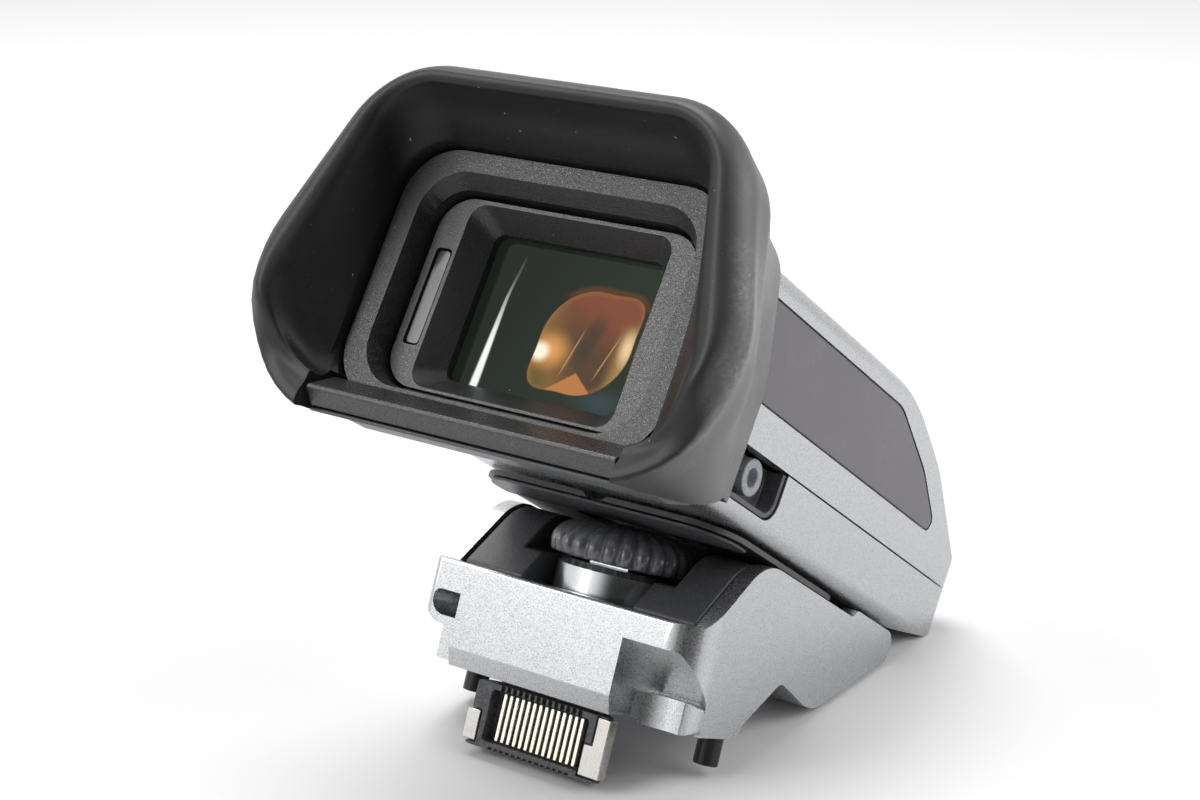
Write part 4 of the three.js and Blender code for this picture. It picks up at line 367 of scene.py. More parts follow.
def eyecup_rubber(colours, wear):
    """Matte rubber, with a grey bloom on rubbed places and pale dust. The outer wall that faces right is lighter,
    partly bloom and partly painted light, and its handled patches are lighter still.
    """
    made, tree, shader = new_finish("eyecup rubber")
    rubbed = use(tree, "rubbed places", Scale=75.0, Amount=wear.scuffs)["Mask"]
    # Painted light: the outer wall that faces right is painted lighter, and its handled patches lighter still,
    # partly wear.
    facing = put(tree, "ShaderNodeTexCoord").outputs["Normal"]
    right = between(tree, put(tree, "ShaderNodeSeparateXYZ", Vector=facing).outputs[0], 0.35, 0.9)
    x = along(tree, place(tree), (1, 0, 0), FINDER_ORIGIN)
    outer = maths(tree, "MULTIPLY", right, between(tree, x, 11.0, 15.0))
    handled = use(tree, "rubbed places", Scale=210.0, Amount=1.0)["Mask"]
    dust = use(tree, "dust specks", Amount=wear.dust, Scale=760.0)["Mask"]
    lint = use(tree, "dust specks", Amount=wear.dust * 1.6, Scale=2100.0)["Mask"]
    ground = blend_colours(tree, rubbed, tuple(colours.rubber), (0.026, 0.026, 0.026))
    ground = blend_colours(tree, maths(tree, "MULTIPLY", outer, 0.75), ground, (0.15, 0.148, 0.15))
    lit_worn_patches = maths(tree, "MULTIPLY", outer, maths(tree, "MULTIPLY", handled, 0.6))
    ground = blend_colours(tree, lit_worn_patches, ground, (0.32, 0.315, 0.31))
    specks = maths(tree, "MAXIMUM", dust, maths(tree, "MULTIPLY", lint, 0.55))
    specked = blend_colours(tree, specks, ground, (0.42, 0.41, 0.38))
    attach(tree, shader.inputs["Base Color"], specked)
    attach(tree, shader.inputs["Roughness"], between(tree, rubbed, 0, 1, 0.42, 0.58))
    shader.inputs["Specular IOR Level"].default_value = 0.38
    shader.inputs["Sheen Weight"].default_value = 0.06
    shader.inputs["Sheen Roughness"].default_value = 0.4
    fine = noise(tree, place(tree), 5500, 3, 0.6)
    bumps(tree, shader, fine, 0.00002, 0.5)
    return made


def near_line(tree, x, z, start, end, width):
    """1 on the segment from start to end in the plane of x and z, falling to 0 at the width."""
    (x0, z0), (x1, z1) = start, end
    length = math.hypot(x1 - x0, z1 - z0)
    ux, uz = (x1 - x0) / length, (z1 - z0) / length
    dx, dz = maths(tree, "SUBTRACT", x, x0), maths(tree, "SUBTRACT", z, z0)
    run = maths(tree, "MULTIPLY_ADD", dx, ux, maths(tree, "MULTIPLY", dz, uz))
    across = maths(tree, "SUBTRACT", maths(tree, "MULTIPLY", dx, uz), maths(tree, "MULTIPLY", dz, ux))
    off = maths(tree, "ABSOLUTE", across)
    begun = between(tree, run, 0, length * 0.35, 0, 1)
    ending = between(tree, run, length * 0.7, length, 1, 0)
    inside = maths(tree, "MULTIPLY", begun, ending)
    return maths(tree, "MULTIPLY", between(tree, off, width * 0.25, width, 1, 0), inside)


def near_point(tree, x, z, centre, reach_x, reach_z):
    """1 at the centre, falling to 0 on an ellipse round it."""
    dx = maths(tree, "DIVIDE", maths(tree, "SUBTRACT", x, centre[0]), reach_x)
    dz = maths(tree, "DIVIDE", maths(tree, "SUBTRACT", z, centre[1]), reach_z)
    far = maths(tree, "SQRT", maths(tree, "MULTIPLY_ADD", dx, dx, maths(tree, "MULTIPLY", dz, dz)))
    return between(tree, far, 0, 1, 1, 0)


def over(tree, ground, share, colour, strength=1.0):
    """A colour laid over the ground by a share."""
    return blend_colours(tree, maths(tree, "MULTIPLY", share, strength, clamp=True), ground, colour)


# The zero of the window's painted pattern, in finder millimetres
WINDOW_ZERO = (-1.72, 0, 0.6)


def window_painted_reflections(colours):
    """Window glowing with painted reflections: an amber pool, a painted reflection in the coated lens, with
    painted highlights and folds, and a pale streak, a painted reflection of a lamp, on a dark green ground. The
    pattern is drawn as the material's own light, in the window's plane and in finder millimetres, so it is the
    same from every side."""
    made, tree, shader = new_finish("window painted reflections")
    where = place(tree)
    zero = in_finder(WINDOW_ZERO)
    x, z = along(tree, where, (1, 0, 0), zero), along(tree, where, FINDER_Z, zero)
    dark, amber = tuple(colours.window), tuple(colours.amber)
    light = tuple(value * 1.9 for value in dark)
    # Painted sheen: the ground grows lighter towards the right, with a pale painted reflection patch.
    ground = blend_colours(tree, between(tree, maths(tree, "MULTIPLY_ADD", z, -0.35, x), -8.0, 4.0), dark, light)
    ground = over(tree, ground, near_point(tree, x, z, (7.8, 5.3), 4.0, 1.8), (0.035, 0.055, 0.06))

    # The amber pool, its crescent and everything laid into it are painted reflections; the bright spots are
    # painted highlights.
    dx, dz = maths(tree, "SUBTRACT", x, 4.6), maths(tree, "SUBTRACT", z, 9.7)
    far = maths(tree, "SQRT", maths(tree, "MULTIPLY_ADD", dx, dx, maths(tree, "MULTIPLY", dz, dz)))
    lean = maths(tree, "MULTIPLY_ADD", dx, 0.713, maths(tree, "MULTIPLY", dz, 0.701))
    aligned = maths(tree, "DIVIDE", maths(tree, "ABSOLUTE", lean), maths(tree, "ADD", far, 0.01))
    rim = maths(tree, "MULTIPLY_ADD", maths(tree, "POWER", aligned, 16.0), 1.3, 4.32)
    depth = maths(tree, "SUBTRACT", rim, far)
    pool = between(tree, depth, -0.03, 0.12)
    crescent = maths(tree, "MULTIPLY", between(tree, depth, -0.62, -0.2, 0, 1), between(tree, z, 12.6, 13.8))
    ground = over(tree, ground, crescent, (0.11, 0.045, 0.018), 0.7)

    upper = between(tree, maths(tree, "MULTIPLY_ADD", x, 0.35, z), 10.2, 15.0)
    inner = over(tree, amber, upper, tuple(value * s for value, s in zip(amber, (2.4, 1.35, 1.15))))
    left = between(tree, maths(tree, "MULTIPLY_ADD", z, 0.4, x), 8.0, 4.4)
    inner = over(tree, inner, left, (0.25, 0.13, 0.036), 0.85)
    inner = over(tree, inner, near_point(tree, x, z, (1.2, 5.8), 1.9, 2.2), (0.13, 0.1, 0.024))
    inner = over(tree, inner, near_line(tree, x, z, (5.6, 12.6), (4.2, 7.4), 1.1), (0.055, 0.042, 0.03), 0.75)
    inner = over(tree, inner, between(tree, depth, 0.55, 0.0), (0.42, 0.17, 0.06), 0.35)
    aside = maths(tree, "ABSOLUTE", maths(tree, "SUBTRACT", x, 4.7))
    below = between(tree, maths(tree, "MULTIPLY_ADD", aside, 0.78, z), 7.1, 7.35, 1, 0)
    fan = maths(tree, "MULTIPLY", below, pool)
    inner = over(tree, inner, fan, (0.5, 0.2, 0.065), 0.95)
    gold = maths(tree, "MULTIPLY", between(tree, x, 6.9, 8.5), between(tree, z, 12.4, 10.6))
    inner = over(tree, inner, gold, (0.42, 0.26, 0.09), 0.85)
    inner = over(tree, inner, near_point(tree, x, z, (8.45, 9.9), 1.0, 2.0), (0.85, 0.62, 0.33))
    inner = over(tree, inner, near_point(tree, x, z, (1.6, 8.6), 2.6, 2.1), (0.78, 0.36, 0.11))
    inner = over(tree, inner, near_point(tree, x, z, (0.75, 8.35), 1.25, 1.15), (1.0, 0.93, 0.72), 1.5)
    for start, end in (((4.3, 11.2), (3.1, 6.3)), ((7.7, 11.3), (6.2, 6.6))):
        inner = over(tree, inner, near_line(tree, x, z, start, end, 0.09), (0.62, 0.34, 0.13), 0.7)
    painted_glow = over(tree, ground, pool, inner)

    # The pale streak is a painted reflection of a lamp.
    bow = maths(tree, "MULTIPLY_ADD", between(tree, z, 11.5, 16.2, 0, 1), 0.42, -4.2)
    bow = maths(tree, "MULTIPLY_ADD", maths(tree, "SUBTRACT", z, 4.8), 0.022, bow)
    half = between(tree, z, 5.0, 13.0, 0.5, 0.17, smooth=False)
    off = maths(tree, "DIVIDE", maths(tree, "ABSOLUTE", maths(tree, "SUBTRACT", x, bow)), half)
    streak = between(tree, off, 0.35, 1.0, 1.0, 0.0)
    strength = maths(tree, "MULTIPLY", between(tree, z, 15.0, 6.5, 0.05, 1.1), between(tree, z, 16.0, 14.8))
    painted_glow = over(tree, painted_glow, maths(tree, "MULTIPLY", streak, strength), (0.93, 0.97, 0.95))
    dust = use(tree, "dust specks", Amount=0.16, Scale=900.0)["Mask"]
    painted_glow = over(tree, painted_glow, dust, (0.3, 0.34, 0.33), 0.7)

    shader.inputs["Base Color"].default_value = (0.004, 0.005, 0.004, 1)
    # The whole pattern glows as painted light.
    attach(tree, shader.inputs["Emission Color"], painted_glow)
    shader.inputs["Emission Strength"].default_value = 1.0
    shader.inputs["Roughness"].default_value = 0.06
    shader.inputs["Specular IOR Level"].default_value = 0.03
    return made


def plain_lens():
    """The two lenses behind the window: clear, faintly green."""
    made, tree, shader = new_finish("clear lens")
    tint = noise(tree, place(tree), 200, 1)
    attach(tree, shader.inputs["Base Color"], blend_colours(tree, tint, (0.7, 0.78, 0.72), (0.8, 0.85, 0.82)))
    shader.inputs["Roughness"].default_value = 0.03
    shader.inputs["Alpha"].default_value = 0.35
    return made


def sensor_glass():
    """Smoked cover of the proximity sensor: black, and greyer and rougher below where a painted reflection lies.
    """
    made, tree, shader = new_finish("sensor glass")
    where = place(tree)
    z = along(tree, where, FINDER_Z, FINDER_ORIGIN)
    # Painted reflection: the lower part is made grey and rougher.
    painted_reflection_below = between(tree, z, 12.6, 13.4, 1.0, 0.0)
    smoke_with_painted_reflection = blend_colours(tree, painted_reflection_below, (0.008, 0.008, 0.009), (0.085, 0.085, 0.09))
    attach(tree, shader.inputs["Base Color"], smoke_with_painted_reflection)
    attach(tree, shader.inputs["Roughness"], between(tree, painted_reflection_below, 0, 1, 0.12, 0.3))
    shader.inputs["Coat Weight"].default_value = 0.3
    return made


def plated(colours, name, colour, rough, scale=1800.0):
    """Plated metal with faint tarnish."""
    made, tree, shader = new_finish(name)
    tarnish = noise(tree, place(tree), scale, 3, 0.6)
    dark = tuple(value * 0.72 for value in colour)
    attach(tree, shader.inputs["Base Color"], blend_colours(tree, between(tree, tarnish, 0.4, 0.75), colour, dark))
    attach(tree, shader.inputs["Roughness"], between(tree, tarnish, 0.3, 0.8, rough - 0.05, rough + 0.12))
    shader.inputs["Metallic"].default_value = 1.0
    return made


def turned_steel(colours):
    """Turned collar: fine rings round the wheel's axis."""
    made, tree, shader = new_finish("turned steel")
    where = place(tree)
    height = along(tree, where, BASE_Z, WHEEL_CENTRE)
    lines = put(tree, "ShaderNodeCombineXYZ", Z=height).outputs["Vector"]
    rings = put(tree, "ShaderNodeTexNoise", Vector=lines, Scale=26.0, Detail=3.0).outputs["Fac"]
    base = (0.7, 0.71, 0.72)
    darker = tuple(value * 0.9 for value in base)
    attach(tree, shader.inputs["Base Color"], blend_colours(tree, rings, darker, base))
    attach(tree, shader.inputs["Roughness"], between(tree, rings, 0.3, 0.7, 0.2, 0.26))
    shader.inputs["Metallic"].default_value = 1.0
    bumps(tree, shader, rings, 0.000004, 0.3)
    return made


def board_mask():
    """Green solder mask with faint tracks."""
    made, tree, shader = new_finish("board mask")
    tracks = put(tree, "ShaderNodeTexBrick", {"offset": 0.5}, Vector=place(tree), Scale=900.0)
    tracks.inputs["Color1"].default_value = (0.012, 0.10, 0.045, 1)
    tracks.inputs["Color2"].default_value = (0.014, 0.12, 0.05, 1)
    tracks.inputs["Mortar"].default_value = (0.03, 0.17, 0.07, 1)
    attach(tree, shader.inputs["Base Color"], tracks.outputs["Color"])
    shader.inputs["Roughness"].default_value = 0.35
    return made


def amber_film():
    """Flexible circuit: amber film over copper."""
    made, tree, shader = new_finish("amber film")
    where = place(tree)
    x = along(tree, where, (1, 0, 0), (0, 0, 0))
    stripes = maths(tree, "PINGPONG", x, 0.2)
    tracks = between(tree, stripes, 0.06, 0.12)
    attach(tree, shader.inputs["Base Color"], blend_colours(tree, tracks, (0.32, 0.12, 0.015), (0.52, 0.23, 0.05)))
    shader.inputs["Roughness"].default_value = 0.3
    return made


FINISHES = {}


def make_finishes(scene):
    """Builds the effects, then every material by name."""
    colours, wear = scene.finder_colours, scene.finder_wear
    for maker in (make_grain, make_flakes, make_specks, make_rubbed):
        maker()
    FINISHES.update({
        "paint": silver_paint(colours),
        "panel": grey_panel(colours, wear),
        # The lifts are partly painted light: the liner and the wheel, in shade under the finder, are lightened,
        # and the dial is mid grey as a painted reflection of the floor.
        "bezel": grained_plastic(colours, wear, "bezel grain", 6500.0, 0.00002, 0.36, 0.7, 0.85),
        "frame": grained_plastic(colours, wear, "frame grain", 8000.0, 0.000016, 0.33, 1.2, 1.0),
        "bar": grained_plastic(colours, wear, "bar satin", 5600.0, 0.000014, 0.28, 1.3, 0.7),
        "liner": grained_plastic(colours, wear, "liner satin", 8000.0, 0.000008, 0.36, 3.3, 0.6),
        "wheel": grained_plastic(colours, wear, "wheel satin", 9000.0, 0.000004, 0.22, 5.5, 1.0),
        "dial": grained_plastic(colours, wear, "dial satin", 9000.0, 0.000006, 0.4, 16.0),
        "pin": grained_plastic(colours, wear, "pin gloss", 9000.0, 0.000004, 0.3, 0.8, 0.35),
        "plug": grained_plastic(colours, wear, "plug resin", 3000.0, 0.00002, 0.45, 3.0),
        "rubber": eyecup_rubber(colours, wear),
        "window": window_painted_reflections(colours),
        "glass": plain_lens(),
        "sensor": sensor_glass(),
        "gold": plated(colours, "gold plating", tuple(colours.gold), 0.3),
        "nickel": plated(colours, "nickel plating", tuple(colours.nickel), 0.24),
        "collar": turned_steel(colours),
        "board": board_mask(),
        "film": amber_film(),
    })


# Mesh helpers


def new_piece(name, points, faces, finish, nodes, smooth=True):
    """A finished piece from points in metres and faces, in place of the CAD nodes named."""
    mesh = bpy.data.meshes.new(name)
    mesh.from_pydata(np.asarray(points).tolist(), [], [list(face) for face in faces])
    mesh.polygons.foreach_set("use_smooth", np.full(len(mesh.polygons), smooth))
    mesh.update()
    return settle(bpy.data.objects.new(name, mesh), finish, nodes)


def settle(piece, finish, nodes):
    """Links a piece, gives it its material and body, and hides the nodes that it stands for."""
    bpy.context.scene.collection.objects.link(piece)
    piece.data.materials.clear()
    piece.data.materials.append(FINISHES[finish])
    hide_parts(*nodes)
    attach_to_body(piece, BODY_OF[nodes[0]])
    return piece


def grid_faces(rows, columns):
    """Quads of a grid whose rows and columns both close on themselves."""
    i, j = np.meshgrid(np.arange(rows), np.arange(columns), indexing="ij")
    a = i * columns + j
    b = i * columns + (j + 1) % columns
    c = (i + 1) % rows * columns + (j + 1) % columns
    d = (i + 1) % rows * columns + j
    return np.stack([a, b, c, d], -1).reshape(-1, 4)


def turn_outwards(piece):
    """Points every face out of the piece."""
    shape = bmesh.new()
    shape.from_mesh(piece.data)
    bmesh.ops.remove_doubles(shape, verts=shape.verts, dist=1e-7)
    bmesh.ops.recalc_face_normals(shape, faces=shape.faces)
    shape.to_mesh(piece.data)
    shape.free()


def finer(name, finish, rounding, steps=2, angle=32):
    """A CAD node's own form, merged into whole faces, with its edges rounded and its curves shaded smooth."""
    mesh = frame["nodes"][name].data.copy()
    shape = bmesh.new()
    shape.from_mesh(mesh)
    bmesh.ops.remove_doubles(shape, verts=shape.verts, dist=2e-6)
    bmesh.ops.dissolve_degenerate(shape, edges=shape.edges, dist=1e-6)
    bmesh.ops.dissolve_limit(
        shape, angle_limit=math.radians(0.6), use_dissolve_boundaries=False,
        verts=shape.verts, edges=shape.edges)
    for face in shape.faces:
        face.smooth = True
    for edge in shape.edges:
        edge.smooth = edge.calc_face_angle(0) < math.radians(angle)
    shape.to_mesh(mesh)
    shape.free()
    piece = settle(bpy.data.objects.new(name + "_finish", mesh), finish, [name])
    if rounding > 0:
        bevel = piece.modifiers.new("rounding", "BEVEL")
        bevel.width = rounding
        bevel.segments = steps
        bevel.limit_method = "ANGLE"
        bevel.angle_limit = math.radians(angle)
        bevel.use_clamp_overlap = True
        bevel.harden_normals = False
        weighted = piece.modifiers.new("shading", "WEIGHTED_NORMAL")
        weighted.keep_sharp = True
        weighted.weight = 60
    return piece


def dress(name, finish):
    """Gives a CAD node that stays its material."""
    slots = frame["nodes"][name].data.materials
    slots.clear()
    slots.append(FINISHES[finish])


# Eyecup

# The eyecup's rings: share of the depth behind the crest, then its edges and corner radii as shares
BEZEL_HALF = 15.2
BEZEL_LOW = 1.0
BEZEL_HIGH = 22.4
BEZEL_CORNER = 4.6
BEZEL_FACE = -49.9
BEZEL_BACK = -44.6
CUP_FRONT = -56.1
CUP_DEPTH = 20.2
CUP_LEAN = 5.0
CUP_LEAN_RISE = 11.6
CUP_LEAN_FOOT = 12.0875
BODY_HALF = 13.4
BODY_LOW = 1.6
BODY_HIGH = 21.75
GAP = 0.3
CUP_OUTER_RINGS = 4
CUP_RINGS = np.array([
    [1, -0.055, -0.05, 0.033, -0.033, 0.23, 0.165],
    [0.74, 0.02, 0.092, 0.061, -0.056, 0.33, 0.263],
    [0.49, 0.092, 0.316, 0.108, -0.089, 0.43, 0.46],
    [0.31, 0.132, 0.579, 0.169, -0.116, 0.513, 0.625],
    [0.18, 0.125, 0.7, 0.211, -0.131, 0.57, 0.69],
    [0.094, 0.099, 0.803, 0.239, -0.136, 0.592, 0.724],
    [0.035, 0.072, 0.73, 0.22, -0.1, 0.54, 0.69],
    [0, 0.026, 0.579, 0.187, -0.04, 0.447, 0.56],
    [0.01, -0.013, 0.48, 0.154, 0, 0.38, 0.47],
    [0.04, -0.039, 0.395, 0.14, 0.015, 0.329, 0.4],
    [0.12, -0.03, 0.25, 0.103, 0.01, 0.31, 0.32],
    [0.2, 0, 0.1, 0.051, -0.005, 0.3, 0.25],
    [0.262, 0.007, 0.02, 0.014, -0.02, 0.3, 0.22],
])
CUP_RECEDES = np.array([0, 0, 0, 0, 0.06, 0.28, 0.64, 1, 0.97, 0.86, 0.55, 0.24, 0])
CUP_RECEDE = 3.0
CUP_RECEDE_LOW = 1.0
CUP_RECEDE_HIGH = 7.0
CUP_SAMPLES = 5
CUP_CREASE = 38
# Two corners, in finder millimetres, of the block that the notch for the bar is cut with
NOTCH_LOW = (-15.0, -60, -20)
NOTCH_HIGH = (15.0, -30, 2.4)


def smooth_rows(rows, count):
    """Catmull-Rom curve through the rows, count samples a span."""
    padded = np.vstack([2 * rows[0] - rows[1], rows, 2 * rows[-1] - rows[-2]])
    t = np.linspace(0, 1, count, endpoint=False)[:, None, None]
    p0, p1, p2, p3 = padded[:-3], padded[1:-2], padded[2:-1], padded[3:]
    square = (2 * p0 - 5 * p1 + 4 * p2 - p3) * t ** 2
    cube = (3 * p1 - p0 - 3 * p2 + p3) * t ** 3
    curve = 0.5 * (2 * p1 + (p2 - p0) * t + square + cube)
    return np.vstack([curve.transpose(1, 0, 2).reshape(-1, rows.shape[1]), rows[-1:]])


def round_trapezoids(y, top_half, bottom_half, top, bottom, top_radius, bottom_radius, arc=14, side=8):
    """Rings as an array (rings, points, 3): straight sides and corner arcs of a symmetrical trapezoid.
    Each corner is the arc that touches both of its sides, turning about a centre on their bisector."""
    count = len(y)
    corners = np.stack([
        np.stack([bottom_half, bottom], -1), np.stack([top_half, top], -1),
        np.stack([-top_half, top], -1), np.stack([-bottom_half, bottom], -1)])
    radii = [bottom_radius, top_radius, top_radius, bottom_radius]
    pieces = []
    for k in range(4):
        corner = corners[k]
        before = corners[k - 1] - corner
        after = corners[(k + 1) % 4] - corner
        before = before / np.linalg.norm(before, axis=1, keepdims=True)
        after = after / np.linalg.norm(after, axis=1, keepdims=True)
        half = np.arccos(np.clip((before * after).sum(1), -1, 1)) / 2
        middle = before + after
        middle = middle / np.linalg.norm(middle, axis=1, keepdims=True)
        centre = corner + middle * (radii[k] / np.sin(half))[:, None]
        spoke = corner + before * (radii[k] / np.tan(half))[:, None] - centre
        turn = (math.pi - 2 * half)[:, None] * np.linspace(0, 1, arc + 1)[None]
        cosine, sine = np.cos(turn), np.sin(turn)
        x = centre[:, :1] + spoke[:, :1] * cosine - spoke[:, 1:] * sine
        z = centre[:, 1:] + spoke[:, :1] * sine + spoke[:, 1:] * cosine
        pieces.append(np.stack([x, np.repeat(y[:, None], arc + 1, 1), z], -1))
    full = []
    for k in range(4):
        full.append(pieces[k])
        start, end = pieces[k][:, -1:], pieces[(k + 1) % 4][:, :1]
        share = (np.arange(1, side) / side)[None, :, None]
        full.append(start + (end - start) * share)
    return np.concatenate(full, 1).reshape(count, -1, 3)


def cup_rings():
    """All the eyecup's rings: the outer skin and crest as a smooth curve through the table, then square
    rings that step round the bezel and the body with the fitting gap."""
    rows = smooth_rows(np.column_stack([CUP_RINGS, CUP_RECEDES]), CUP_SAMPLES)
    back, top_out, bottom_out, up, down, top_round, bottom_round, recede = rows.T
    span = BEZEL_HIGH - BEZEL_LOW
    skin = round_trapezoids(
        CUP_FRONT + CUP_DEPTH * back, BEZEL_HALF * (1 + top_out), BEZEL_HALF * (1 + bottom_out),
        BEZEL_HIGH + span * up, BEZEL_LOW + span * down, BEZEL_HALF * top_round, BEZEL_HALF * bottom_round)
    outer = np.arange(len(rows)) <= CUP_SAMPLES * (CUP_OUTER_RINGS - 1)
    share = np.where(outer, back ** 2, 0)[:, None]
    rise = np.maximum(0, skin[..., 2] - CUP_LEAN_FOOT) / CUP_LEAN_RISE
    skin[..., 1] -= CUP_LEAN * rise * share
    low = np.clip((CUP_RECEDE_HIGH - skin[..., 2]) / (CUP_RECEDE_HIGH - CUP_RECEDE_LOW), 0, 1)
    skin[..., 1] += CUP_RECEDE * recede[:, None] * low ** 2 * (3 - 2 * low)
    room = [
        (BEZEL_FACE - GAP, BEZEL_HALF + GAP, BEZEL_HIGH + GAP, BEZEL_LOW - GAP, BEZEL_CORNER, 0),
        (BEZEL_BACK + GAP, BEZEL_HALF + GAP, BEZEL_HIGH + GAP, BEZEL_LOW - GAP, BEZEL_CORNER, 0),
        (BEZEL_BACK + GAP, BODY_HALF + GAP, BODY_HIGH + GAP, BODY_LOW - GAP, 2.5, 0),
        (CUP_FRONT + CUP_DEPTH, BODY_HALF + GAP, BODY_HIGH + GAP, BODY_LOW - GAP, 2.5, 1),
    ]
    y, half, high, low, radius, lean = (np.array(values, float) for values in zip(*room))
    inner = round_trapezoids(y, half, half, high, low, radius, radius)
    rise = np.maximum(0, inner[..., 2] - CUP_LEAN_FOOT) / CUP_LEAN_RISE
    inner[..., 1] -= CUP_LEAN * rise * lean[:, None]
    return np.concatenate([skin, inner])


class FINDER_OT_eyecup(bpy.types.Operator):
    """Rubber eyecup: one closed skin of smooth rings, notched below for the hard bar"""

    bl_idname = "finder.eyecup"
    bl_label = "Eyecup"

    def execute(self, context):
        rings = cup_rings()
        rows, columns = rings.shape[:2]
        points = in_finder(rings.reshape(-1, 3))
        piece = new_piece("eyecup_rubber", points, grid_faces(rows, columns), "rubber", ["eyecup"])
        turn_outwards(piece)
        notch_low, notch_high = np.array(NOTCH_LOW), np.array(NOTCH_HIGH)
        corner = np.array([[x, y, z] for x in (0, 1) for y in (0, 1) for z in (0, 1)])
        points = in_finder(notch_low + corner * (notch_high - notch_low))
        sides = [(0, 1, 3, 2), (4, 6, 7, 5), (0, 4, 5, 1), (2, 3, 7, 6), (0, 2, 6, 4), (1, 5, 7, 3)]
        mesh = bpy.data.meshes.new("notch")
        mesh.from_pydata(points.tolist(), [], sides)
        cutter = bpy.data.objects.new("notch", mesh)
        context.scene.collection.objects.link(cutter)
        turn_outwards(cutter)
        cut = piece.modifiers.new("notch", "BOOLEAN")
        cut.operation = "DIFFERENCE"
        cut.solver = "EXACT"
        cut.object = cutter
        context.view_layer.update()
        result = bpy.data.meshes.new_from_object(piece.evaluated_get(context.evaluated_depsgraph_get()))
        piece.modifiers.clear()
        piece.data = result
        bpy.data.objects.remove(cutter)
        shape = bmesh.new()
        shape.from_mesh(result)
        for face in shape.faces:
            face.smooth = True
        for edge in shape.edges:
            edge.smooth = edge.calc_face_angle(0) < math.radians(CUP_CREASE)
        shape.to_mesh(result)
        shape.free()
        return {"FINISHED"}


# Wheel and collar

WHEEL_RADIUS = 6.3
WHEEL_LOW = -1.6
WHEEL_HIGH = 1.6
WHEEL_RIM = 0.9
WHEEL_RIBS = 26
RIB_DEPTH = 0.42
RIB_SHARPNESS = 2.2
RIB_SAMPLES = 12
DOME_ROWS = 22
DOME_SQUARENESS = 0.5


class FINDER_OT_wheel(bpy.types.Operator):
    """Ribbed thumb wheel: a dome turned about its axis, its radius waved by the ribs and fading at the top"""

    bl_idname = "finder.wheel"
    bl_label = "Thumb wheel"

    def execute(self, context):
        quarter = np.linspace(0, math.pi / 2, DOME_ROWS)
        rise = WHEEL_HIGH - WHEEL_LOW - WHEEL_RIM
        radius = np.concatenate([
            [0.01, 0.5, 0.9, 0.96, 0.985, 1.0], np.cos(quarter[1:-1]) ** DOME_SQUARENESS, [0.01]]) * WHEEL_RADIUS
        height = np.concatenate([
            [0, 0, 0, 0.04, 0.2, WHEEL_RIM], WHEEL_RIM + rise * np.sin(quarter[1:-1]),
            [WHEEL_HIGH - WHEEL_LOW]]) + WHEEL_LOW
        depth = np.interp(radius, [0, 2.8, 4.4, WHEEL_RADIUS], [0, 0, RIB_DEPTH, RIB_DEPTH])
        depth[:3] = 0
        turn = np.linspace(0, 2 * math.pi, WHEEL_RIBS * RIB_SAMPLES, endpoint=False)
        wave = (0.5 - 0.5 * np.cos(turn * WHEEL_RIBS)) ** RIB_SHARPNESS
        r = radius[:, None] - depth[:, None] * wave[None]
        points = np.stack([r * np.cos(turn), r * np.sin(turn), np.repeat(height[:, None], len(turn), 1)], -1)
        rows, columns = points.shape[:2]
        faces = grid_faces(rows, columns)[: (rows - 1) * columns]
        caps = [list(range(columns))[::-1], list(range((rows - 1) * columns, rows * columns))]
        points = in_wheel(points.reshape(-1, 3))
        piece = new_piece("thumb_wheel_ribs", points, [*faces.tolist(), *caps], "wheel", ["thumb_wheel"])
        turn_outwards(piece)
        finer("wheel_collar", "collar", 0, angle=24)
        finer("retaining_clip", "nickel", 0, angle=24)
        finer("fastening_screw", "nickel", 0, angle=30)
        return {"FINISHED"}


# Shells and eyepiece


class FINDER_OT_shells(bpy.types.Operator):
    """Painted shells, their side panels and the plate below"""

    bl_idname = "finder.shells"
    bl_label = "Shells"

    def execute(self, context):
        edges = context.scene.finder_edges
        finer("upper_shell", "paint", edges.paint)
        finer("lower_shell", "paint", edges.paint)
        finer("bottom_plate", "bezel", edges.fine)
        finer("info_plate", "liner", 0)
        for side in ("left", "right"):
            finer(f"side_panel_{side}", "panel", edges.fine, 1)
        return {"FINISHED"}


class FINDER_OT_eyepiece(bpy.types.Operator):
    """Bezel, inner frame, bar, window and sensor"""

    bl_idname = "finder.eyepiece"
    bl_label = "Eyepiece"

    def execute(self, context):
        edges = context.scene.finder_edges
        finer("eyepiece_bezel", "bezel", edges.plastic, 3)
        finer("inner_frame", "frame", edges.plastic, 3)
        finer("eyecup_bar", "bar", edges.plastic * 2, 3)
        finer("bar_trim", "liner", edges.fine)
        dress("eyepiece_window", "window")
        finer("sensor_window", "sensor", edges.fine, 1)
        dress("sensor_board", "board")
        return {"FINISHED"}


class FINDER_OT_inside(bpy.types.Operator):
    """Lenses, carriage, display and boards"""

    bl_idname = "finder.inside"
    bl_label = "Inside"

    def execute(self, context):
        dress("eye_lens", "glass")
        dress("field_lens", "glass")
        dress("lens_carriage", "liner")
        for side in ("left", "right"):
            dress(f"guide_rod_{side}", "nickel")
            dress(f"leaf_screw_{side}", "nickel")
        dress("display_holder", "liner")
        dress("display_panel", "sensor")
        dress("main_board", "board")
        dress("finder_flex", "film")
        dress("hinge_knuckle", "nickel")
        return {"FINISHED"}


class FINDER_OT_dioptre(bpy.types.Operator):
    """Dioptre dial in its cup"""

    bl_idname = "finder.dioptre"
    bl_label = "Dioptre dial"

    def execute(self, context):
        edges = context.scene.finder_edges
        finer("dioptre_cup", "liner", edges.fine)
        finer("dioptre_spindle", "dial", edges.plastic * 0.6, 2, 36)
        return {"FINISHED"}


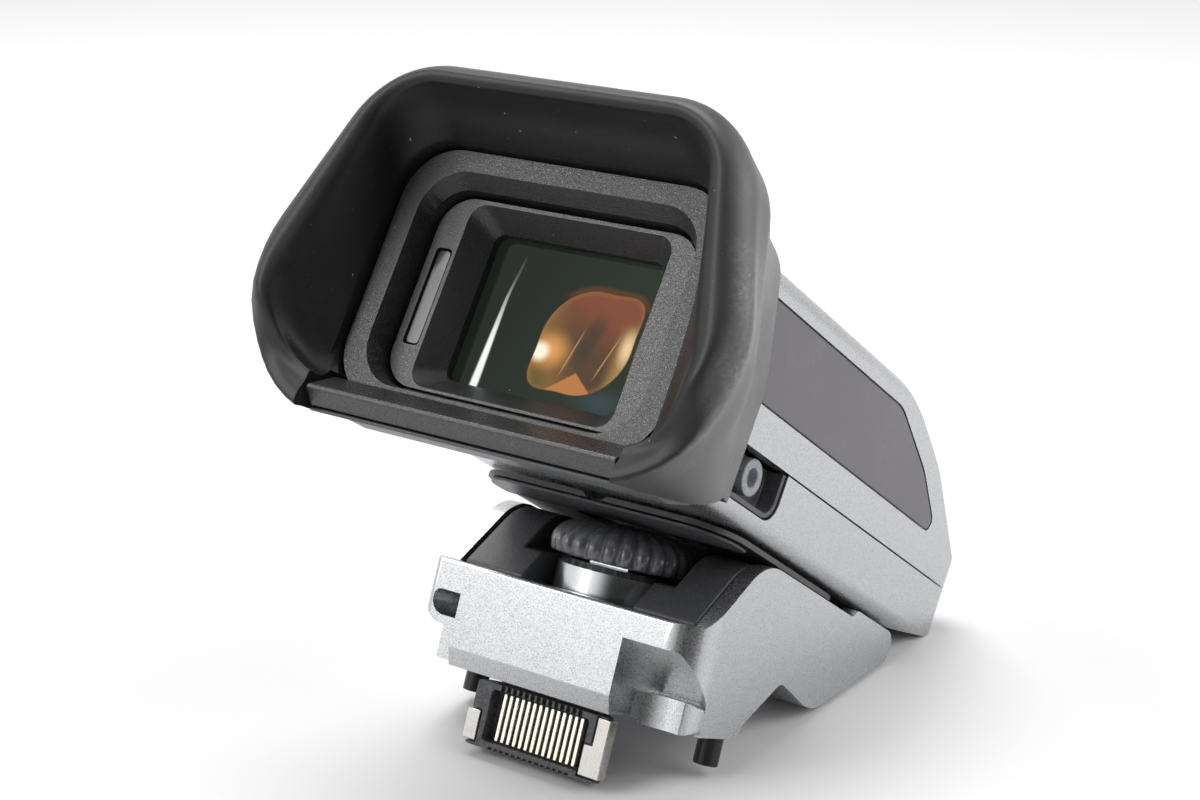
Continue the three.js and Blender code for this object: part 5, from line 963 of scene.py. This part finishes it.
class FINDER_OT_base(bpy.types.Operator):
    """Casting, liner, plug, contacts, pins and hinge"""

    bl_idname = "finder.base"
    bl_label = "Base"

    def execute(self, context):
        edges = context.scene.finder_edges
        finer("base_casting", "paint", edges.paint, 2, 30)
        finer("base_liner", "liner", edges.plastic)
        finer("plug_housing", "plug", edges.fine, 1)
        for i in range(1, 15):
            finer(f"contact_{i:02d}", "gold", edges.fine, 2)
        for side in ("left", "right"):
            finer(f"shield_{side}", "nickel", edges.fine)
            finer(f"locating_pin_{side}", "pin", edges.fine * 2, 2)
            dress(f"hinge_bracket_{side}", "nickel")
            dress(f"bracket_screw_{side}", "nickel")
        dress("plug_board", "board")
        dress("hinge_shaft", "nickel")
        dress("base_flex", "film")
        return {"FINISHED"}


# Stage


def soft_lamp(name, size, power, place_at, aim):
    """A square soft lamp that faces a point. Power in watts, places in metres."""
    data = bpy.data.lights.new(name, "AREA")
    data.shape = "RECTANGLE"
    data.size, data.size_y = size
    data.energy = power
    lamp = bpy.data.objects.new(name, data)
    lamp.location = place_at
    lamp.rotation_euler = (Vector(aim) - Vector(place_at)).to_track_quat("-Z", "Y").to_euler()
    bpy.context.scene.collection.objects.link(lamp)
    return lamp


def white_floor():
    """Pale floor that keeps the object's shadow and shows white where it is lit."""
    made, tree, shader = new_finish("white floor")
    cloud = noise(tree, place(tree), 3, 1)
    attach(tree, shader.inputs["Base Color"], blend_colours(tree, cloud, (0.86, 0.86, 0.87), (0.88, 0.88, 0.88)))
    shader.inputs["Roughness"].default_value = 0.8
    shader.inputs["Specular IOR Level"].default_value = 0.1
    return made


# The studio's dark side: polished and painted corners reflect it
DARK_SIDE = (0.755, -0.624, 0.2)


def set_world(scene):
    """Even light from all round; camera, glossy and transmission rays see plain white, and glossy ones
    also a dark side of the studio that fades into it."""
    world = bpy.data.worlds.new("studio")
    world.use_nodes = True
    tree = world.node_tree
    tree.nodes.clear()
    rays = tree.nodes.new("ShaderNodeLightPath").outputs
    towards = along(tree, place(tree, "Generated"), np.array(DARK_SIDE) * MM, (0, 0, 0))
    studio = maths(tree, "MULTIPLY", rays["Is Glossy Ray"], between(tree, towards, 0.5, 0.88, 1.0, 0.03))
    plain = maths(tree, "MAXIMUM", rays["Is Camera Ray"], rays["Is Transmission Ray"])
    others = maths(tree, "SUBTRACT", 1.0, maths(tree, "MAXIMUM", plain, rays["Is Glossy Ray"]))
    white = maths(tree, "MAXIMUM", plain, studio)
    strength = maths(tree, "MULTIPLY_ADD", others, scene.finder_stage.daylight, white)
    made = put(tree, "ShaderNodeBackground", Color=(1, 1, 1), Strength=strength)
    output = tree.nodes.new("ShaderNodeOutputWorld")
    tree.links.new(made.outputs[0], output.inputs["Surface"])
    scene.world = world


# Where the photograph's camera stood: its right, up and backward directions, and its place from the
# hinge in metres
CAMERA_RIGHT = (0.81310076, 0.58211926, -0.00207902)
CAMERA_UP = (-0.18374655, 0.2600417, 0.94795333)
CAMERA_BACK = (0.55236252, -0.77039956, 0.31840251)
CAMERA_FROM_HINGE = (0.10695, -0.1738462, 0.08882301)


# Each lamp: name, size in metres, power in watts, place and aim in metres
LAMPS = (
    ("top softbox", (0.36, 0.36), 2.6, (-0.16, 0.14, 0.55), (0, 0, 0.02)),
    ("front softbox", (0.42, 0.42), 2.2, (-0.38, -0.46, 0.44), (0, 0, 0.03)),
    ("right softbox", (0.5, 0.5), 2.2, (0.5, 0.22, 0.36), (0, 0, 0.03)),
)


class FINDER_OT_stage(bpy.types.Operator):
    """Floor, soft light and the camera"""

    bl_idname = "finder.stage"
    bl_label = "Stage"

    def execute(self, context):
        scene = context.scene
        settings = scene.finder_stage
        half = settings.floor_size / 2
        mesh = bpy.data.meshes.new("floor")
        corners = [(-half, -half, 0), (half, -half, 0), (half, half, 0), (-half, half, 0)]
        mesh.from_pydata(corners, [], [(0, 1, 2, 3)])
        mesh.materials.append(white_floor())
        floor = bpy.data.objects.new("floor", mesh)
        scene.collection.objects.link(floor)
        set_world(scene)
        for lamp in LAMPS:
            soft_lamp(*lamp)
        data = bpy.data.cameras.new("camera")
        data.lens = settings.focal
        data.sensor_width = 36
        data.sensor_fit = "HORIZONTAL"
        data.clip_start = 0.01
        data.dof.use_dof = False
        camera = bpy.data.objects.new("camera", data)
        turn = Matrix([CAMERA_RIGHT, CAMERA_UP, CAMERA_BACK]).transposed().to_4x4()
        camera.matrix_world = Matrix.Translation(FINDER_ORIGIN + CAMERA_FROM_HINGE) @ turn
        scene.collection.objects.link(camera)
        scene.camera = camera
        scene.view_settings.view_transform = "Standard"
        return {"FINISHED"}


class FINDER_PT_panel(bpy.types.Panel):
    """Lists the viewfinder's steps and settings"""

    bl_idname = "FINDER_PT_panel"
    bl_label = "Electronic viewfinder"
    bl_space_type = "VIEW_3D"
    bl_region_type = "UI"
    bl_category = "Viewfinder"

    def draw(self, context):
        layout = self.layout
        for group in ("finder_colours", "finder_edges", "finder_wear", "finder_stage"):
            settings = getattr(context.scene, group)
            box = layout.box()
            for name in settings.bl_rna.properties.keys():
                if name not in ("rna_type", "name"):
                    box.prop(settings, name)
        for step in STEPS:
            layout.operator(step.bl_idname)


STEPS = (
    FINDER_OT_eyecup,
    FINDER_OT_shells,
    FINDER_OT_eyepiece,
    FINDER_OT_inside,
    FINDER_OT_dioptre,
    FINDER_OT_wheel,
    FINDER_OT_base,
    FINDER_OT_stage,
)
GROUPS = {
    "finder_colours": FinderColours,
    "finder_edges": FinderEdges,
    "finder_wear": FinderWear,
    "finder_stage": FinderStage,
}


def register():
    for name, group in GROUPS.items():
        bpy.utils.register_class(group)
        setattr(bpy.types.Scene, name, bpy.props.PointerProperty(type=group))
    for step in STEPS:
        bpy.utils.register_class(step)
    bpy.utils.register_class(FINDER_PT_panel)


def unregister():
    bpy.utils.unregister_class(FINDER_PT_panel)
    for step in reversed(STEPS):
        bpy.utils.unregister_class(step)
    for name, group in GROUPS.items():
        delattr(bpy.types.Scene, name)
        bpy.utils.unregister_class(group)


def main():
    register()
    make_finishes(bpy.context.scene)
    for step in STEPS:
        group, name = step.bl_idname.split(".")
        getattr(getattr(bpy.ops, group), name)()
    bpy.context.view_layer.update()


if __name__ == "__main__":
    main()
